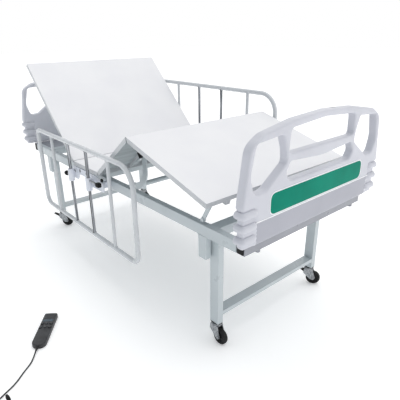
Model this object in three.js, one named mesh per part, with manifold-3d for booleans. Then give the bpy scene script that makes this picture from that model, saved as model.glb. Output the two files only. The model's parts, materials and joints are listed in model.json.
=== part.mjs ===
// Adjustable hospital bed: a four-section platform on a tubular frame with castors, moulded end
// boards, drop-down side guards, two electric actuators and a corded handset.
// Millimetres. +X towards the foot end, +Y towards the patient's left, +Z up.
// The shapes are laid out about the middle of the bed at floor level; the last lines move the whole
// model so that its origin is the middle of its own footprint.
import * as THREE from "three";
import { mergeVertices } from "three/addons/utils/BufferGeometryUtils.js";
import Module from "manifold-3d";

const wasm = await Module();
wasm.setup();

// ---------------------------------------------------------------- driving dimensions
const CLEAR = 0.3; // gap between touching pieces
const RUN = 0.5; // radial running clearance

const platform = {
  width: 900,
  top: 624, // height of the flat seat section
  lip: 22, // folded edge
  sheet: 3,
  wall: 3,
  seam: 1.5, // each end face to the hinge line
  mitre: 14, // set-back of the lower edges at the knee
  back: 695,
  seat: 270,
  thigh: 389,
  leg: 548,
  seatHeadX: -248, // hinge line of the backrest
  ribWidth: 30,
  ribDepth: 20,
};
const posture = { back: 45, thigh: 37.5, leg: 53.7 }; // degrees at rest; the leg's is against the thigh
const mid = { back: 32.5, thigh: 22.5 }; // where each lever hangs straight down

const halfWidth = platform.width / 2;
const rail = { outer: halfWidth - 54, width: 30, height: 50, bottom: platform.top - 96 };
const endTube = { face: 996, depth: 40, plug: 3 };
const leg = {
  x: 800,
  length: 50,
  width: 30,
  outer: halfWidth - 92,
  bottom: 102,
  barHeight: 20,
  barBottom: 141,
};
const bolt = { radius: 10, drop: 14, inset: 12, at: [-0.86, 0.95] }; // at: shares of leg.outer, across
const topBar = 40; // height of the bar that ties each pair of legs
const stub = { x: 767, width: 46, drop: 104 };
const cross = { width: 30, height: 30, back: -600, middle: -420, seat: -125 };
const seatPost = { y: 300, width: 30 };

const board = {
  inner: 989,
  depth: 40,
  bottom: 578.3,
  drawnOn: 578, // height of the end tube's top that the board is drawn for
  foot: halfWidth - 6, // half width at the bottom
  shoulder: halfWidth - 37, // half width at the shoulder
  shoulderZ: 940,
  crown: 1008,
  crownDrop: 34, // how much lower the top edge is at the shoulder
  round: 5,
};
const insert = { half: 304, low: 677, high: 757, round: 28, thick: 3, recess: 2 };
const bumper = { from: halfWidth - 74, proud: 8, height: 28, soft: 6, z: [613, 661, 709] };

const guard = {
  y: halfWidth + 25,
  tube: 12,
  low: rail.bottom - 266.5, // tube centre, guard lowered
  height: 475.5,
  travel: 218,
  headX: -661,
  footX: 403,
  headRound: 26,
  footRound: 105,
  lowRound: 50,
  whiteBars: [-462, 190],
  guideBars: [-243, -33],
  whiteRadius: 9,
  guideRadius: 8,
};
const sleeve = { outer: 16, low: rail.bottom - 11, high: rail.bottom + 58 };
const sidePlate = {
  y: halfWidth - 1,
  thick: 6,
  from: -264,
  to: 78,
  low: rail.bottom + 12,
  high: rail.bottom + 70,
};
const latch = {
  x: [-285, 58],
  pin: 6,
  knob: 14,
  square: 11,
  long: 28,
  z: [rail.bottom + 19, rail.bottom + 45],
};

const bow = { x: 135, z: rail.bottom + 14, y: 252, tube: 13, width: 36 }; // thigh lift arms and their tube
const thighBar = { x: 216, size: 26, reach: 300 }; // square tube under the thigh panel
const lever = { plate: 8, pin: 6, wall: 9, end: 2.5 }; // end: spare length at each end of a slot
const slotPlay = { back: 4.5, thigh: 2.5 };
const actuator = { rod: 10, body: 50, fork: 36, cheek: 6, cheekGap: 1.5 };
const backDrive = { y: 170, z: rail.bottom - 18, from: -720, to: -410 };
const kneeDrive = { y: bow.y, z: rail.bottom - 25, from: -520, to: -110 };
const strut = {
  y: rail.outer - 15,
  thick: 6,
  width: 20,
  reach: 111,
  along: 511,
  below: 30,
  angle: 61,
  roller: 9,
};

const castor = { wheel: 37.5, tread: 24, trail: 27, axle: 5, cheek: 3, cheekGap: 2.5, stem: 5.5, head: 92 };
const castorRest = { head_near: 45, head_far: 12, foot_near: 0, foot_far: 30 }; // degrees, trail from +X
const pedal = { x: -14, z: 74, pin: 3, width: 18, reach: 50, thick: 5 };

const handset = {
  centre: [238.7, -900.6],
  turn: -37.93, // degrees of its cord end from +X
  length: 220,
  width: 62,
  height: 24,
  round: 3,
  wellDepth: 4,
  button: 7,
  buttonHeight: 6.5,
  travel: 1.2,
  rows: [-33, -7],
  columns: [-20, 0, 20],
};
const cord = { radius: 3, rest: 3.2 };
// The handset cord from the handset to its coil: straight out, down to the floor, then in a slow bend.
const cordRoute = [
  [325.8, -968.4, 12],
  [338, -978, 11.8],
  [351, -988, 10.6],
  [364, -998, 8],
  [377, -1009, 5.2],
  [390, -1021.5, 3.6],
  [402, -1035.5, 3.2],
  [413, -1050.5, 3.2],
  [424, -1065, 3.2],
  [436, -1079, 3.2],
  [448, -1093.5, 3.2],
  [459, -1109, 3.2],
  [469, -1125.5, 3.2],
  [477, -1142.5, 3.2],
  [485, -1159.5, 3.2],
  [494.5, -1176, 3.2],
  [505.5, -1190, 3.2],
  [517, -1200.5, 3.2],
];
const coil = { x: 561.5, y: -1189.7, radius: 33, columns: 2, layers: 4 };
const plug = { radius: 7, length: 38 };

// ---------------------------------------------------------------- solids
const deg = THREE.MathUtils.degToRad;

function solid(geometry) {
  const plain = geometry.clone();
  plain.deleteAttribute("normal");
  plain.deleteAttribute("uv");
  const merged = mergeVertices(plain, 1e-3);
  return new wasm.Manifold(
    new wasm.Mesh({
      numProp: 3,
      vertProperties: new Float32Array(merged.attributes.position.array),
      triVerts: new Uint32Array(merged.index.array),
    }),
  );
}

const union = (pieces) => pieces.reduce((all, piece) => all.add(piece));

function block(x0, x1, y0, y1, z0, z1) {
  const g = new THREE.BoxGeometry(x1 - x0, y1 - y0, z1 - z0);
  return solid(g.translate((x0 + x1) / 2, (y0 + y1) / 2, (z0 + z1) / 2));
}

// A round bar from one point to another.
function bar(from, to, radius, sides = 16) {
  const a = new THREE.Vector3(...from);
  const way = new THREE.Vector3(...to).sub(a);
  const g = new THREE.CylinderGeometry(radius, radius, way.length(), sides);
  g.translate(0, way.length() / 2, 0);
  g.applyQuaternion(new THREE.Quaternion().setFromUnitVectors(new THREE.Vector3(0, 1, 0), way.normalize()));
  return solid(g.translate(a.x, a.y, a.z));
}

// A shape drawn in X and Z, with its thickness along Y from y0 to y1.
function platePiece(shape, y0, y1, bevel = 0, steps = 6) {
  const g = new THREE.ExtrudeGeometry(shape, {
    depth: y1 - y0 - 2 * bevel,
    bevelEnabled: bevel > 0,
    bevelThickness: bevel,
    bevelSize: bevel,
    bevelOffset: -bevel,
    bevelSegments: 1,
    curveSegments: steps,
  });
  return solid(g.translate(0, 0, bevel - (y1 - y0)).rotateX(Math.PI / 2).translate(0, y0, 0));
}

// A closed outline with every corner rounded: points are [a, b, radius].
function rounded(points, Path = THREE.Shape) {
  const path = new Path();
  const n = points.length;
  points.forEach(([a, b, r], i) => {
    const here = new THREE.Vector2(a, b);
    const before = new THREE.Vector2(...points[(i + n - 1) % n].slice(0, 2)).sub(here);
    const after = new THREE.Vector2(...points[(i + 1) % n].slice(0, 2)).sub(here);
    const half = Math.acos(before.clone().normalize().dot(after.clone().normalize())) / 2;
    const cut = Math.min(r / Math.tan(half), 0.49 * before.length(), 0.49 * after.length());
    const start = here.clone().add(before.setLength(cut));
    const end = here.clone().add(after.setLength(cut));
    if (i === 0) path.moveTo(start.x, start.y);
    else path.lineTo(start.x, start.y);
    if (r > 0) path.quadraticCurveTo(here.x, here.y, end.x, end.y);
  });
  path.closePath();
  return path;
}

const rectangle = (a0, a1, b0, b1, r, Path) =>
  rounded([[a0, b0, r], [a1, b0, r], [a1, b1, r], [a0, b1, r]], Path);

// A band of even width along a curve in X and Z, round at both ends.
function band(curve, width, steps = 12) {
  const left = [];
  const right = [];
  for (let i = 0; i <= steps; i++) {
    const p = curve.getPoint(i / steps);
    const t = curve.getTangent(i / steps);
    left.push([p.x - (t.y * width) / 2, p.y + (t.x * width) / 2]);
    right.unshift([p.x + (t.y * width) / 2, p.y - (t.x * width) / 2]);
  }
  const cap = (t, p, facing) =>
    [60, 30, 0, -30, -60].map((a) => {
      const turn = Math.atan2(t.y, t.x) + deg(a + facing);
      return [p.x + (Math.cos(turn) * width) / 2, p.y + (Math.sin(turn) * width) / 2];
    });
  const end = cap(curve.getTangent(1), curve.getPoint(1), 0);
  const start = cap(curve.getTangent(0), curve.getPoint(0), 180);
  return new THREE.Shape([...left, ...end, ...right, ...start].map(([x, y]) => new THREE.Vector2(x, y)));
}

function ring(points, sides) {
  const profile = points.map(([r, h]) => new THREE.Vector2(r, h));
  return solid(new THREE.LatheGeometry(profile, sides).rotateX(Math.PI / 2));
}

// ---------------------------------------------------------------- finishes and the model
const finish = {
  frame: { color: 0xe9edf0, roughness: 0.4, metalness: 0.1 },
  deck: { color: 0xececef, roughness: 0.45, metalness: 0 },
  shell: { color: 0xdfe2ea, roughness: 0.35, metalness: 0 },
  green: { color: 0x12946f, roughness: 0.3, metalness: 0 },
  chrome: { color: 0xc9ccd0, roughness: 0.15, metalness: 1 },
  zinc: { color: 0xb9bdc2, roughness: 0.35, metalness: 1 },
  black: { color: 0x17181a, roughness: 0.6, metalness: 0 },
  grey: { color: 0x74787d, roughness: 0.5, metalness: 0 },
  charcoal: { color: 0x3a3b3d, roughness: 0.55, metalness: 0 },
};

const bed = new THREE.Group();

function place(parent, name, made, look) {
  const found = made.getMesh();
  const g = new THREE.BufferGeometry();
  g.setAttribute("position", new THREE.BufferAttribute(new Float32Array(found.vertProperties), 3));
  g.setIndex(new THREE.BufferAttribute(new Uint32Array(found.triVerts), 1));
  const mesh = new THREE.Mesh(g, new THREE.MeshStandardMaterial(finish[look]));
  mesh.name = name;
  parent.add(mesh);
  return mesh;
}

// A group turned about Y at a hinge line; a positive turn raises the +X side.
function hinged(parent, x, z, raise) {
  const group = new THREE.Group();
  group.position.set(x, 0, z);
  group.rotation.y = -deg(raise);
  parent.add(group);
  return group;
}

const sides = [["near", -1], ["far", 1]];
const ends = [["head", -1], ["foot", 1]];

// ---------------------------------------------------------------- fixed frame
const railTop = rail.bottom + rail.height;
const railInner = rail.outer - rail.width;
const endTubeInner = endTube.face - endTube.depth;

function sideRail(side) {
  const spanY = side < 0 ? [-rail.outer, -railInner] : [railInner, rail.outer];
  const tube = block(-endTubeInner + CLEAR, endTubeInner - CLEAR, ...spanY, rail.bottom, railTop);
  const stubs = ends.map(([, end]) => {
    const x = end * stub.x;
    return block(x - stub.width / 2, x + stub.width / 2, ...spanY, rail.bottom - stub.drop, rail.bottom + 1);
  });
  return union([tube, ...stubs]);
}

function crossTube(x) {
  const y = railInner - CLEAR;
  return block(x - cross.width / 2, x + cross.width / 2, -y, y, rail.bottom, rail.bottom + cross.height);
}

function legFrame(end) {
  const x0 = end * leg.x - leg.length / 2;
  const x1 = x0 + leg.length;
  const inner = leg.outer - leg.width;
  const y = railInner - CLEAR;
  const legs = sides.map(([, side]) => {
    const span = side < 0 ? [-leg.outer, -inner] : [inner, leg.outer];
    const post = block(x0, x1, ...span, leg.bottom, rail.bottom + 1);
    const at = [end * leg.x, side * (leg.outer - leg.width / 2)];
    return post.subtract(bar([...at, leg.bottom - 1], [...at, leg.bottom + 25], castor.stem + RUN, 10));
  });
  const low = block(x0 + 1, x1 - 1, -inner - 1, inner + 1, leg.barBottom, leg.barBottom + leg.barHeight);
  const high = block(x0 - 1, x1 + 1, -y, y, rail.bottom, rail.bottom + topBar);
  return union([...legs, low, high]);
}

for (const [name, side] of sides) place(bed, `side_rail_${name}`, sideRail(side), "frame");

for (const [name, end] of ends) {
  const x = [end * endTube.face, end * endTubeInner].sort((a, b) => a - b);
  const y = rail.outer - endTube.plug;
  const tube = block(...x, -y, y, rail.bottom, railTop);
  const bolts = bolt.at.map((share) => {
    const at = [end * (endTube.face - bolt.inset), end * share * leg.outer];
    return bar([...at, rail.bottom - bolt.drop], [...at, rail.bottom + 5], bolt.radius, 12);
  });
  place(bed, `${name}_end_tube`, union([tube, ...bolts]), "frame");
  place(bed, `${name}_leg_frame`, legFrame(end), "frame");
}

place(bed, "back_cross_tube", crossTube(cross.back), "frame");
place(bed, "middle_cross_tube", crossTube(cross.middle), "frame");

const deckUnder = platform.top - platform.lip;
const posts = sides.map(([, side]) => {
  const y = side * seatPost.y;
  const half = seatPost.width / 2;
  return block(cross.seat - half, cross.seat + half, y - half, y + half, rail.bottom + 1, deckUnder - CLEAR);
});
place(bed, "seat_cross_tube", union([crossTube(cross.seat), ...posts]), "frame");

// ---------------------------------------------------------------- seat side plates and guard sleeves
function seatPlate(side) {
  const { from, to, low, high } = sidePlate;
  const middle = (guard.guideBars[0] + guard.guideBars[1]) / 2;
  const arch = 74; // half width of the arched cut under the plate
  const outline = rounded([
    [from, low - 14, 10], [middle - arch, low - 14, 8], [middle - arch + 24, low + 22, 22],
    [middle + arch - 24, low + 22, 22], [middle + arch, low - 14, 8], [to, low - 14, 10],
    [to, high - 22, 16], [0, high, 20], [from, high, 10],
  ]);
  const y0 = sidePlate.y - sidePlate.thick / 2;
  const y1 = y0 + sidePlate.thick;
  const pieces = [platePiece(outline, y0, y1)];
  for (const x of guard.guideBars) {
    pieces.push(bar([x, guard.y, sleeve.low], [x, guard.y, sleeve.high], sleeve.outer, 14));
    pieces.push(block(x - 8, x + 8, y1 - 1, guard.y - 4, low - 8, low + 30));
  }
  for (const x of [from + 24, to - 30]) {
    pieces.push(block(x - 15, x + 15, rail.outer + CLEAR, y0 + 1, rail.bottom + 16, railTop - 4));
  }
  const bored = guard.guideBars.map((x) =>
    bar([x, guard.y, sleeve.low - 1], [x, guard.y, sleeve.high + 1], guard.guideRadius + RUN, 12),
  );
  const made = union(pieces).subtract(union(bored));
  return side > 0 ? made : made.mirror([0, 1, 0]);
}
for (const [name, side] of sides) place(bed, `seat_plate_${name}`, seatPlate(side), "frame");

for (const [name, side] of sides) {
  const y = side * guard.y;
  const clearOfSleeve = sleeve.outer + CLEAR;
  const round = latch.x[0];
  const first = guard.guideBars[0] - clearOfSleeve;
  const [headZ, footZ] = latch.z;
  const knob = union([
    bar([first, y, headZ], [round - 8, y, headZ], latch.pin, 12),
    bar([round - 26, y, headZ], [round - 6, y, headZ], latch.knob, 20),
  ]);
  place(bed, `latch_knob_head_${name}`, knob, "black");
  const second = guard.guideBars[1] + clearOfSleeve;
  const square = union([
    bar([second, y, footZ], [latch.x[1] + 3, y, footZ], latch.pin, 12),
    block(
      latch.x[1], latch.x[1] + latch.long, y - latch.square, y + latch.square,
      footZ - latch.square, footZ + latch.square,
    ),
  ]);
  place(bed, `latch_knob_foot_${name}`, square, "black");
}

// ---------------------------------------------------------------- side guards
function guardLoop() {
  const { headX, footX, low, height, tube, headRound, footRound, lowRound } = guard;
  const high = low + height;
  const path = new THREE.CurvePath();
  const at = (x, z) => new THREE.Vector3(x, 0, z);
  const corners = [
    [headX, low, lowRound, 0, 1], [headX, high, headRound, 1, 0],
    [footX, high, footRound, 0, -1], [footX, low, lowRound, -1, 0],
  ];
  const arcs = corners.map(([x, z, r], i) => {
    const enter = [[1, 0], [0, -1], [-1, 0], [0, 1]][i];
    const leave = [[0, 1], [1, 0], [0, -1], [-1, 0]][i];
    return {
      start: at(x + enter[0] * r, z + enter[1] * r),
      corner: at(x, z),
      end: at(x + leave[0] * r, z + leave[1] * r),
    };
  });
  arcs.forEach((arc, i) => {
    const k = 0.5523; // control-point share of a cubic quarter circle
    path.add(
      new THREE.CubicBezierCurve3(
        arc.start, arc.start.clone().lerp(arc.corner, k), arc.end.clone().lerp(arc.corner, k), arc.end,
      ),
    );
    path.add(new THREE.LineCurve3(arc.end, arcs[(i + 1) % arcs.length].start));
  });
  // One closed sweep: sections every few millimetres round the corners and none along the straights.
  const stations = [];
  path.curves.forEach((curve, i) => {
    const steps = i % 2 === 0 ? 6 : 1;
    for (let s = 0; s < steps; s++) stations.push([curve.getPoint(s / steps), curve.getTangent(s / steps)]);
  });
  const around = 10;
  const vertices = stations.flatMap(([p, t]) =>
    Array.from({ length: around }, (_, j) => {
      const a = (2 * Math.PI * j) / around;
      return [p.x + tube * Math.cos(a) * t.z, tube * Math.sin(a), p.z - tube * Math.cos(a) * t.x];
    }).flat(),
  );
  const faces = [];
  stations.forEach((_, i) => {
    const next = ((i + 1) % stations.length) * around;
    for (let j = 0; j < around; j++) {
      const k = (j + 1) % around;
      faces.push(i * around + j, next + k, next + j, i * around + j, i * around + k, next + k);
    }
  });
  const g = new THREE.BufferGeometry();
  g.setAttribute("position", new THREE.Float32BufferAttribute(vertices, 3));
  g.setIndex(faces);
  const made = solid(g);
  const fixedBars = guard.whiteBars.map((x) => bar([x, 0, low], [x, 0, high], guard.whiteRadius, 12));
  return union([made, ...fixedBars]);
}

for (const [name, side] of sides) {
  const lift = new THREE.Group();
  lift.position.set(0, side * guard.y, side > 0 ? guard.travel : 0);
  bed.add(lift);
  place(lift, `guard_${name}`, guardLoop(), "frame");
  const barLow = guard.low + guard.tube + CLEAR;
  const barHigh = guard.low + guard.height - guard.tube - CLEAR;
  guard.guideBars.forEach((x, i) => {
    const made = bar([x, 0, barLow], [x, 0, barHigh], guard.guideRadius, 12);
    place(lift, `guard_bar_${i ? "foot" : "head"}_${name}`, made, "chrome");
  });
}

// ---------------------------------------------------------------- platform sections
// A folded sheet-metal pan whose top is Z = 0 and which runs from x0 to x1, with the lower edges set
// back at a mitred end. Two ribs stiffen it underneath.
function pan(x0, x1, mitre0, mitre1, ribs) {
  const { lip, sheet, wall, ribWidth, ribDepth } = platform;
  const section = (inset, depth0, depth1) =>
    new THREE.Shape(
      [
        [x0 + inset + (mitre0 * -depth0) / lip, depth0],
        [x1 - inset - (mitre1 * -depth0) / lip, depth0],
        [x1 - inset - (mitre1 * -depth1) / lip, depth1],
        [x0 + inset + (mitre0 * -depth1) / lip, depth1],
      ].map(([x, z]) => new THREE.Vector2(x, z)),
    );
  const outer = platePiece(section(0, -lip, 0), -halfWidth, halfWidth);
  const hollow = platePiece(section(wall, -lip - 1, -sheet), -halfWidth + wall, halfWidth - wall);
  const stiff = ribs.map((y) =>
    block(x0 + 16 + mitre0, x1 - 16 - mitre1, y - ribWidth / 2, y + ribWidth / 2, -ribDepth, -sheet + 1),
  );
  return union([outer.subtract(hollow), ...stiff]);
}

const thighX = platform.seatHeadX + platform.seat;
const { seam, mitre } = platform;

const seatPan = pan(platform.seatHeadX + seam, thighX - seam, 0, 0, [-seatPost.y, seatPost.y]);
place(bed, "seat_panel", seatPan.translate([0, 0, platform.top]), "deck");

// Backrest: drawn flat towards -X from its hinge line.
const backrest = hinged(bed, platform.seatHeadX, platform.top, -posture.back);
place(backrest, "back_panel", pan(-platform.back, -seam, 0, 0, [-250, backDrive.y]), "deck");

// Each lever ends in a slot that points at its hinge. The actuator's pin runs level, so it is nearest
// the hinge when the lever hangs straight down and farthest at either end of the travel.
function slotAt(drive, angle) {
  const along = deg(angle);
  const near = platform.top - drive.z;
  return { dir: [Math.sin(along), -Math.cos(along)], near, far: near / Math.cos(Math.abs(along)) };
}

function slotCut(slot, play, y) {
  const [dx, dz] = slot.dir;
  const w = lever.pin + play;
  const r0 = slot.near - lever.pin - lever.end;
  const r1 = slot.far + lever.pin + lever.end;
  const corner = (r, s) => [dx * r - dz * s * w, dz * r + dx * s * w, 5];
  const outline = rounded([corner(r0, -1), corner(r1, -1), corner(r1, 1), corner(r0, 1)]);
  return platePiece(outline, y - lever.plate, y + lever.plate);
}

// The backrest's lever hangs from its rib and ends in a slot that the actuator's pin pulls.
const backSlot = slotAt(backDrive, mid.back);
const leverRoot = -platform.ribDepth - CLEAR;
const tip = (r, s) => {
  const [dx, dz] = backSlot.dir;
  const w = lever.pin + slotPlay.back + lever.wall;
  return [dx * r - dz * s * w, dz * r + dx * s * w, 16];
};
const tipEnd = backSlot.far + lever.pin + lever.end + lever.wall;
const backLever = platePiece(
  rounded([
    [-170, leverRoot, 2], [-40, leverRoot, 2], tip(backSlot.near - 34, 1), tip(tipEnd, 1), tip(tipEnd, -1),
    tip(backSlot.near - 34, -1), [-150, leverRoot - 12, 12],
  ]),
  backDrive.y - lever.plate / 2, backDrive.y + lever.plate / 2,
);
place(backrest, "back_lever", backLever.subtract(slotCut(backSlot, slotPlay.back, backDrive.y)), "frame");

// Thigh section: drawn flat towards +X from its hinge line, with two curved arms joined by a tube.
const thigh = hinged(bed, thighX, platform.top, posture.thigh);
const thighPan = pan(seam, platform.thigh - seam, 0, mitre, [-bow.y, bow.y]);
const barTop = 1 - platform.ribDepth;
const crossBar = block(
  thighBar.x - thighBar.size / 2, thighBar.x + thighBar.size / 2, -thighBar.reach, thighBar.reach,
  barTop - thighBar.size - 1, barTop,
);
place(thigh, "thigh_panel", union([thighPan, crossBar]), "deck");

const turnBack = deg(-posture.thigh);
const hingeAt = new THREE.Vector2();
const tubeAt = new THREE.Vector2(bow.x - thighX, bow.z - platform.top).rotateAround(hingeAt, turnBack);
const kneeSlot = slotAt(kneeDrive, -mid.thigh);
const lobe = kneeSlot.dir.map((d) => (d * (kneeSlot.near + kneeSlot.far)) / 2);
const armCurve = new THREE.CatmullRomCurve3(
  [
    [155, leverRoot - 4], [128, -66], [92, -108], [tubeAt.x, tubeAt.y + 4], [-8, -127], lobe,
  ].map(([x, z]) => new THREE.Vector3(x, z, 0)),
);
for (const [name, side] of sides) {
  const y = side * bow.y;
  const span = [y - lever.plate / 2, y + lever.plate / 2];
  const blade = platePiece(band(armCurve, bow.width, 14), ...span);
  const boss = bar([lobe[0], span[0], lobe[1]], [lobe[0], span[1], lobe[1]], 26, 24);
  const foot = block(100, 200, y - 12, y + 12, leverRoot - 5, leverRoot);
  const above = block(0, 300, y - 20, y + 20, leverRoot, 60);
  const made = union([blade, boss, foot]).subtract(union([above, slotCut(kneeSlot, slotPlay.thigh, y)]));
  place(thigh, `thigh_arm_${name}`, made, "frame");
}
const bowHalf = bow.y - lever.plate / 2 - CLEAR;
place(
  thigh,
  "thigh_bow_tube",
  bar([tubeAt.x, -bowHalf, tubeAt.y], [tubeAt.x, bowHalf, tubeAt.y], bow.tube, 18),
  "frame",
);

// Leg section: carried by the thigh section at the knee and propped at its foot end.
const calf = hinged(thigh, platform.thigh, 0, -posture.leg);
const calfPan = pan(seam, platform.leg, mitre, 0, [-bow.y, bow.y]);
const lugs = sides.map(([, side]) => {
  const y = side * (strut.y - 51);
  return block(platform.leg - 30, platform.leg - 2, y - 12, y + 12, -platform.lip - 20, -platform.sheet);
});
place(calf, "leg_panel", union([calfPan, ...lugs]), "deck");

const strutTurn = deg(strut.angle) + Math.PI; // the prop points down and towards the head end
const calfTurn = deg(posture.thigh - posture.leg);
for (const [name, side] of sides) {
  const prop = new THREE.Group();
  prop.position.set(strut.along, side * strut.y, -strut.below);
  prop.rotation.y = -(strutTurn - calfTurn);
  calf.add(prop);
  const half = strut.width / 2;
  const blade = platePiece(
    rounded([
      [-half + 2, -half, 8], [strut.reach, -half + 2, 7], [strut.reach, half - 2, 7], [-half + 2, half, 8],
    ]),
    -strut.thick / 2, strut.thick / 2,
  );
  const roller = bar([strut.reach, -7, 0], [strut.reach, 7, 0], strut.roller, 16);
  place(prop, `leg_prop_${name}`, union([blade, roller]), "frame");
}

// ---------------------------------------------------------------- actuators
// How far a level pin is from below its hinge, when its section is past its middle angle by some degrees.
const pinOffset = (drive, past) => (platform.top - drive.z) * Math.tan(deg(past));
const backPinX = platform.seatHeadX - pinOffset(backDrive, posture.back - mid.back);
const kneePinX = thighX + pinOffset(kneeDrive, posture.thigh - mid.thigh);

function actuatorRod(pinX, { y, z }) {
  const gap = lever.plate / 2 + actuator.cheekGap;
  const forkRoot = pinX - actuator.fork;
  const cheeks = [-1, 1].map((side) => {
    const y0 = y + (side < 0 ? -gap - actuator.cheek : gap);
    return platePiece(
      rectangle(forkRoot - 14, pinX + 14, z - 12, z + 12, 10), y0, y0 + actuator.cheek,
    );
  });
  const web = block(forkRoot - 14, forkRoot, y - gap - 1, y + gap + 1, z - 11, z + 11);
  const shaft = bar([forkRoot - 240, y, z], [forkRoot - 8, y, z], actuator.rod, 16);
  const through = bar([pinX, y - gap - 2, z], [pinX, y + gap + 2, z], lever.pin, 12);
  return union([...cheeks, web, shaft, through]);
}

function actuatorBody(drive) {
  const { z } = drive;
  const half = actuator.body / 2;
  const top = rail.bottom - CLEAR;
  const tube = block(drive.from + 90, drive.to, drive.y - half, drive.y + half, z - half, top);
  const motor = platePiece(
    rectangle(drive.from, drive.from + 92, z - 62, top, 16), drive.y - 34, drive.y + 34, 4, 4,
  );
  const bore = bar([drive.from + 100, drive.y, z], [drive.to + 1, drive.y, z], actuator.rod + RUN, 16);
  return union([tube, motor]).subtract(bore);
}

place(bed, "back_actuator_body", actuatorBody(backDrive), "grey");
place(bed, "back_actuator_rod", actuatorRod(backPinX, backDrive), "zinc");
place(bed, "knee_actuator_body", actuatorBody(kneeDrive), "grey");
place(bed, "knee_actuator_rod", actuatorRod(kneePinX, kneeDrive), "zinc");

const boxTop = rail.bottom - CLEAR;
const boxFace = rectangle(cross.back - 85, cross.back + 60, boxTop - 64, boxTop, 8);
const controls = platePiece(boxFace, 226, 340, 3, 4);
const inlets = [255, 285].map((y) =>
  bar([cross.back - 95, y, boxTop - 34], [cross.back - 70, y, boxTop - 34], 11, 16),
);
place(bed, "control_box", union([controls, ...inlets]), "grey");

// ---------------------------------------------------------------- end boards
function boardOutline() {
  const { foot, shoulder, shoulderZ, crown, crownDrop, bottom } = board;
  const side = (sign) => [
    [sign * foot, bottom, 12], [sign * foot, 740, 60], [sign * shoulder, shoulderZ, 60],
    [sign * 352, crown - crownDrop, 60],
  ];
  const right = side(1);
  const left = side(-1).reverse();
  return rounded([...right, [190, crown - 7, 200], [0, crown + 3, 200], [-190, crown - 7, 200], ...left]);
}

// The openings: a grip at each shoulder and two wide slots, one above the other.
function boardOpenings() {
  const grip = (s) => [
    [s * 0.25, 0.957, 14], [s * 0.385, 0.946, 22], [s * 0.41, 0.84, 80], [s * 0.386, 0.77, 26],
    [s * 0.33, 0.776, 30], [s * 0.222, 0.853, 26], [s * 0.229, 0.9, 60],
  ];
  const upper = [
    [-0.214, 0.883, 18], [0.214, 0.883, 18], [0.208, 0.972, 22], [0, 0.986, 400], [-0.208, 0.972, 22],
  ];
  const lower = [
    [-0.2, 0.781, 28], [0.2, 0.781, 28], [0.222, 0.816, 18], [0.2, 0.854, 16], [0, 0.838, 500],
    [-0.2, 0.854, 16], [-0.222, 0.816, 18],
  ];
  return [grip(1), grip(-1), upper, lower].map((points) =>
    rounded(points.map(([y, z, r]) => [y * 1000, z * 1000, r]), THREE.Path),
  );
}

// A shape drawn across the bed and upwards, with its thickness along X from x0 to x1.
function acrossPiece(shape, x0, x1, bevel = 0, steps = 6) {
  return platePiece(shape, -x1, -x0, bevel, steps).rotate([0, 0, 90]);
}

const insertBack = board.inner + board.depth - insert.recess;
function endBoard() {
  const shape = boardOutline();
  shape.holes = boardOpenings();
  const outer = board.inner + board.depth;
  const panel = acrossPiece(shape, board.inner, outer, board.round, 3);
  const ribs = bumper.z.flatMap((z) =>
    sides.map(([, side]) => {
      const across = [side * bumper.from, side * (board.foot + bumper.proud)].sort((a, b) => a - b);
      const outline = rectangle(board.inner - bumper.proud, outer + bumper.proud, ...across, 10);
      const g = new THREE.ExtrudeGeometry(outline, {
        depth: bumper.height - 2 * bumper.soft,
        bevelThickness: bumper.soft,
        bevelSize: bumper.soft,
        bevelOffset: -bumper.soft,
        bevelSegments: 1,
        curveSegments: 3,
      });
      return solid(g.translate(0, 0, z - bumper.height / 2 + bumper.soft));
    }),
  );
  const pocketHalf = insert.half + CLEAR;
  const pocket = acrossPiece(
    rectangle(-pocketHalf, pocketHalf, insert.low - CLEAR, insert.high + CLEAR, insert.round),
    insertBack, outer + 5,
  );
  return union([panel, ...ribs]).subtract(pocket);
}
const panelInsert = () =>
  acrossPiece(
    rectangle(-insert.half, insert.half, insert.low, insert.high, insert.round),
    insertBack + CLEAR, insertBack + insert.thick,
  );

for (const [name, end] of ends) {
  const onTube = (made) => made.translate([0, 0, railTop - board.drawnOn]);
  const turned = (made) => onTube(end > 0 ? made : made.rotate([0, 0, 180]));
  place(bed, `${name}board`, turned(endBoard()), "shell");
  place(bed, `${name}board_insert`, turned(panelInsert()), "green");
}

// ---------------------------------------------------------------- castors
const wheelProfile = (half, radius) => [
  [0, -half], [radius - 4, -half], [radius, -half + 5], [radius, half - 5], [radius - 4, half], [0, half],
];

function castorFork(braked) {
  const gap = castor.tread / 2 + castor.cheekGap;
  const head = castor.head;
  const outline = rounded([
    [-20, head, 3], [-26, pedal.z - 8, 8], [castor.trail - 14, castor.wheel - 8, 8],
    [castor.trail + 10, castor.wheel - 6, 8], [castor.trail + 10, castor.wheel + 8, 8], [22, head, 3],
  ]);
  const cheeks = [-1, 1].map((s) => {
    const y0 = s < 0 ? -gap - castor.cheek : gap;
    return platePiece(outline, y0, y0 + castor.cheek, 0, 2);
  });
  const crown = block(-20, 22, -gap - 1, gap + 1, head - 5, head);
  const race = ring([[0, head - 1], [22, head - 1], [22, head + 7], [0, head + 7]], 16);
  const stem = bar([0, 0, head], [0, 0, leg.bottom + 22], castor.stem, 10);
  const axleAt = (y) => [castor.trail, y, castor.wheel];
  const axle = bar(axleAt(-gap - 6), axleAt(gap + 6), castor.axle, 10);
  const pivot = bar([pedal.x, -gap - 1, pedal.z], [pedal.x, gap + 1, pedal.z], pedal.pin, 10);
  return union([...cheeks, crown, race, stem, axle, ...(braked ? [pivot] : [])]);
}

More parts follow.
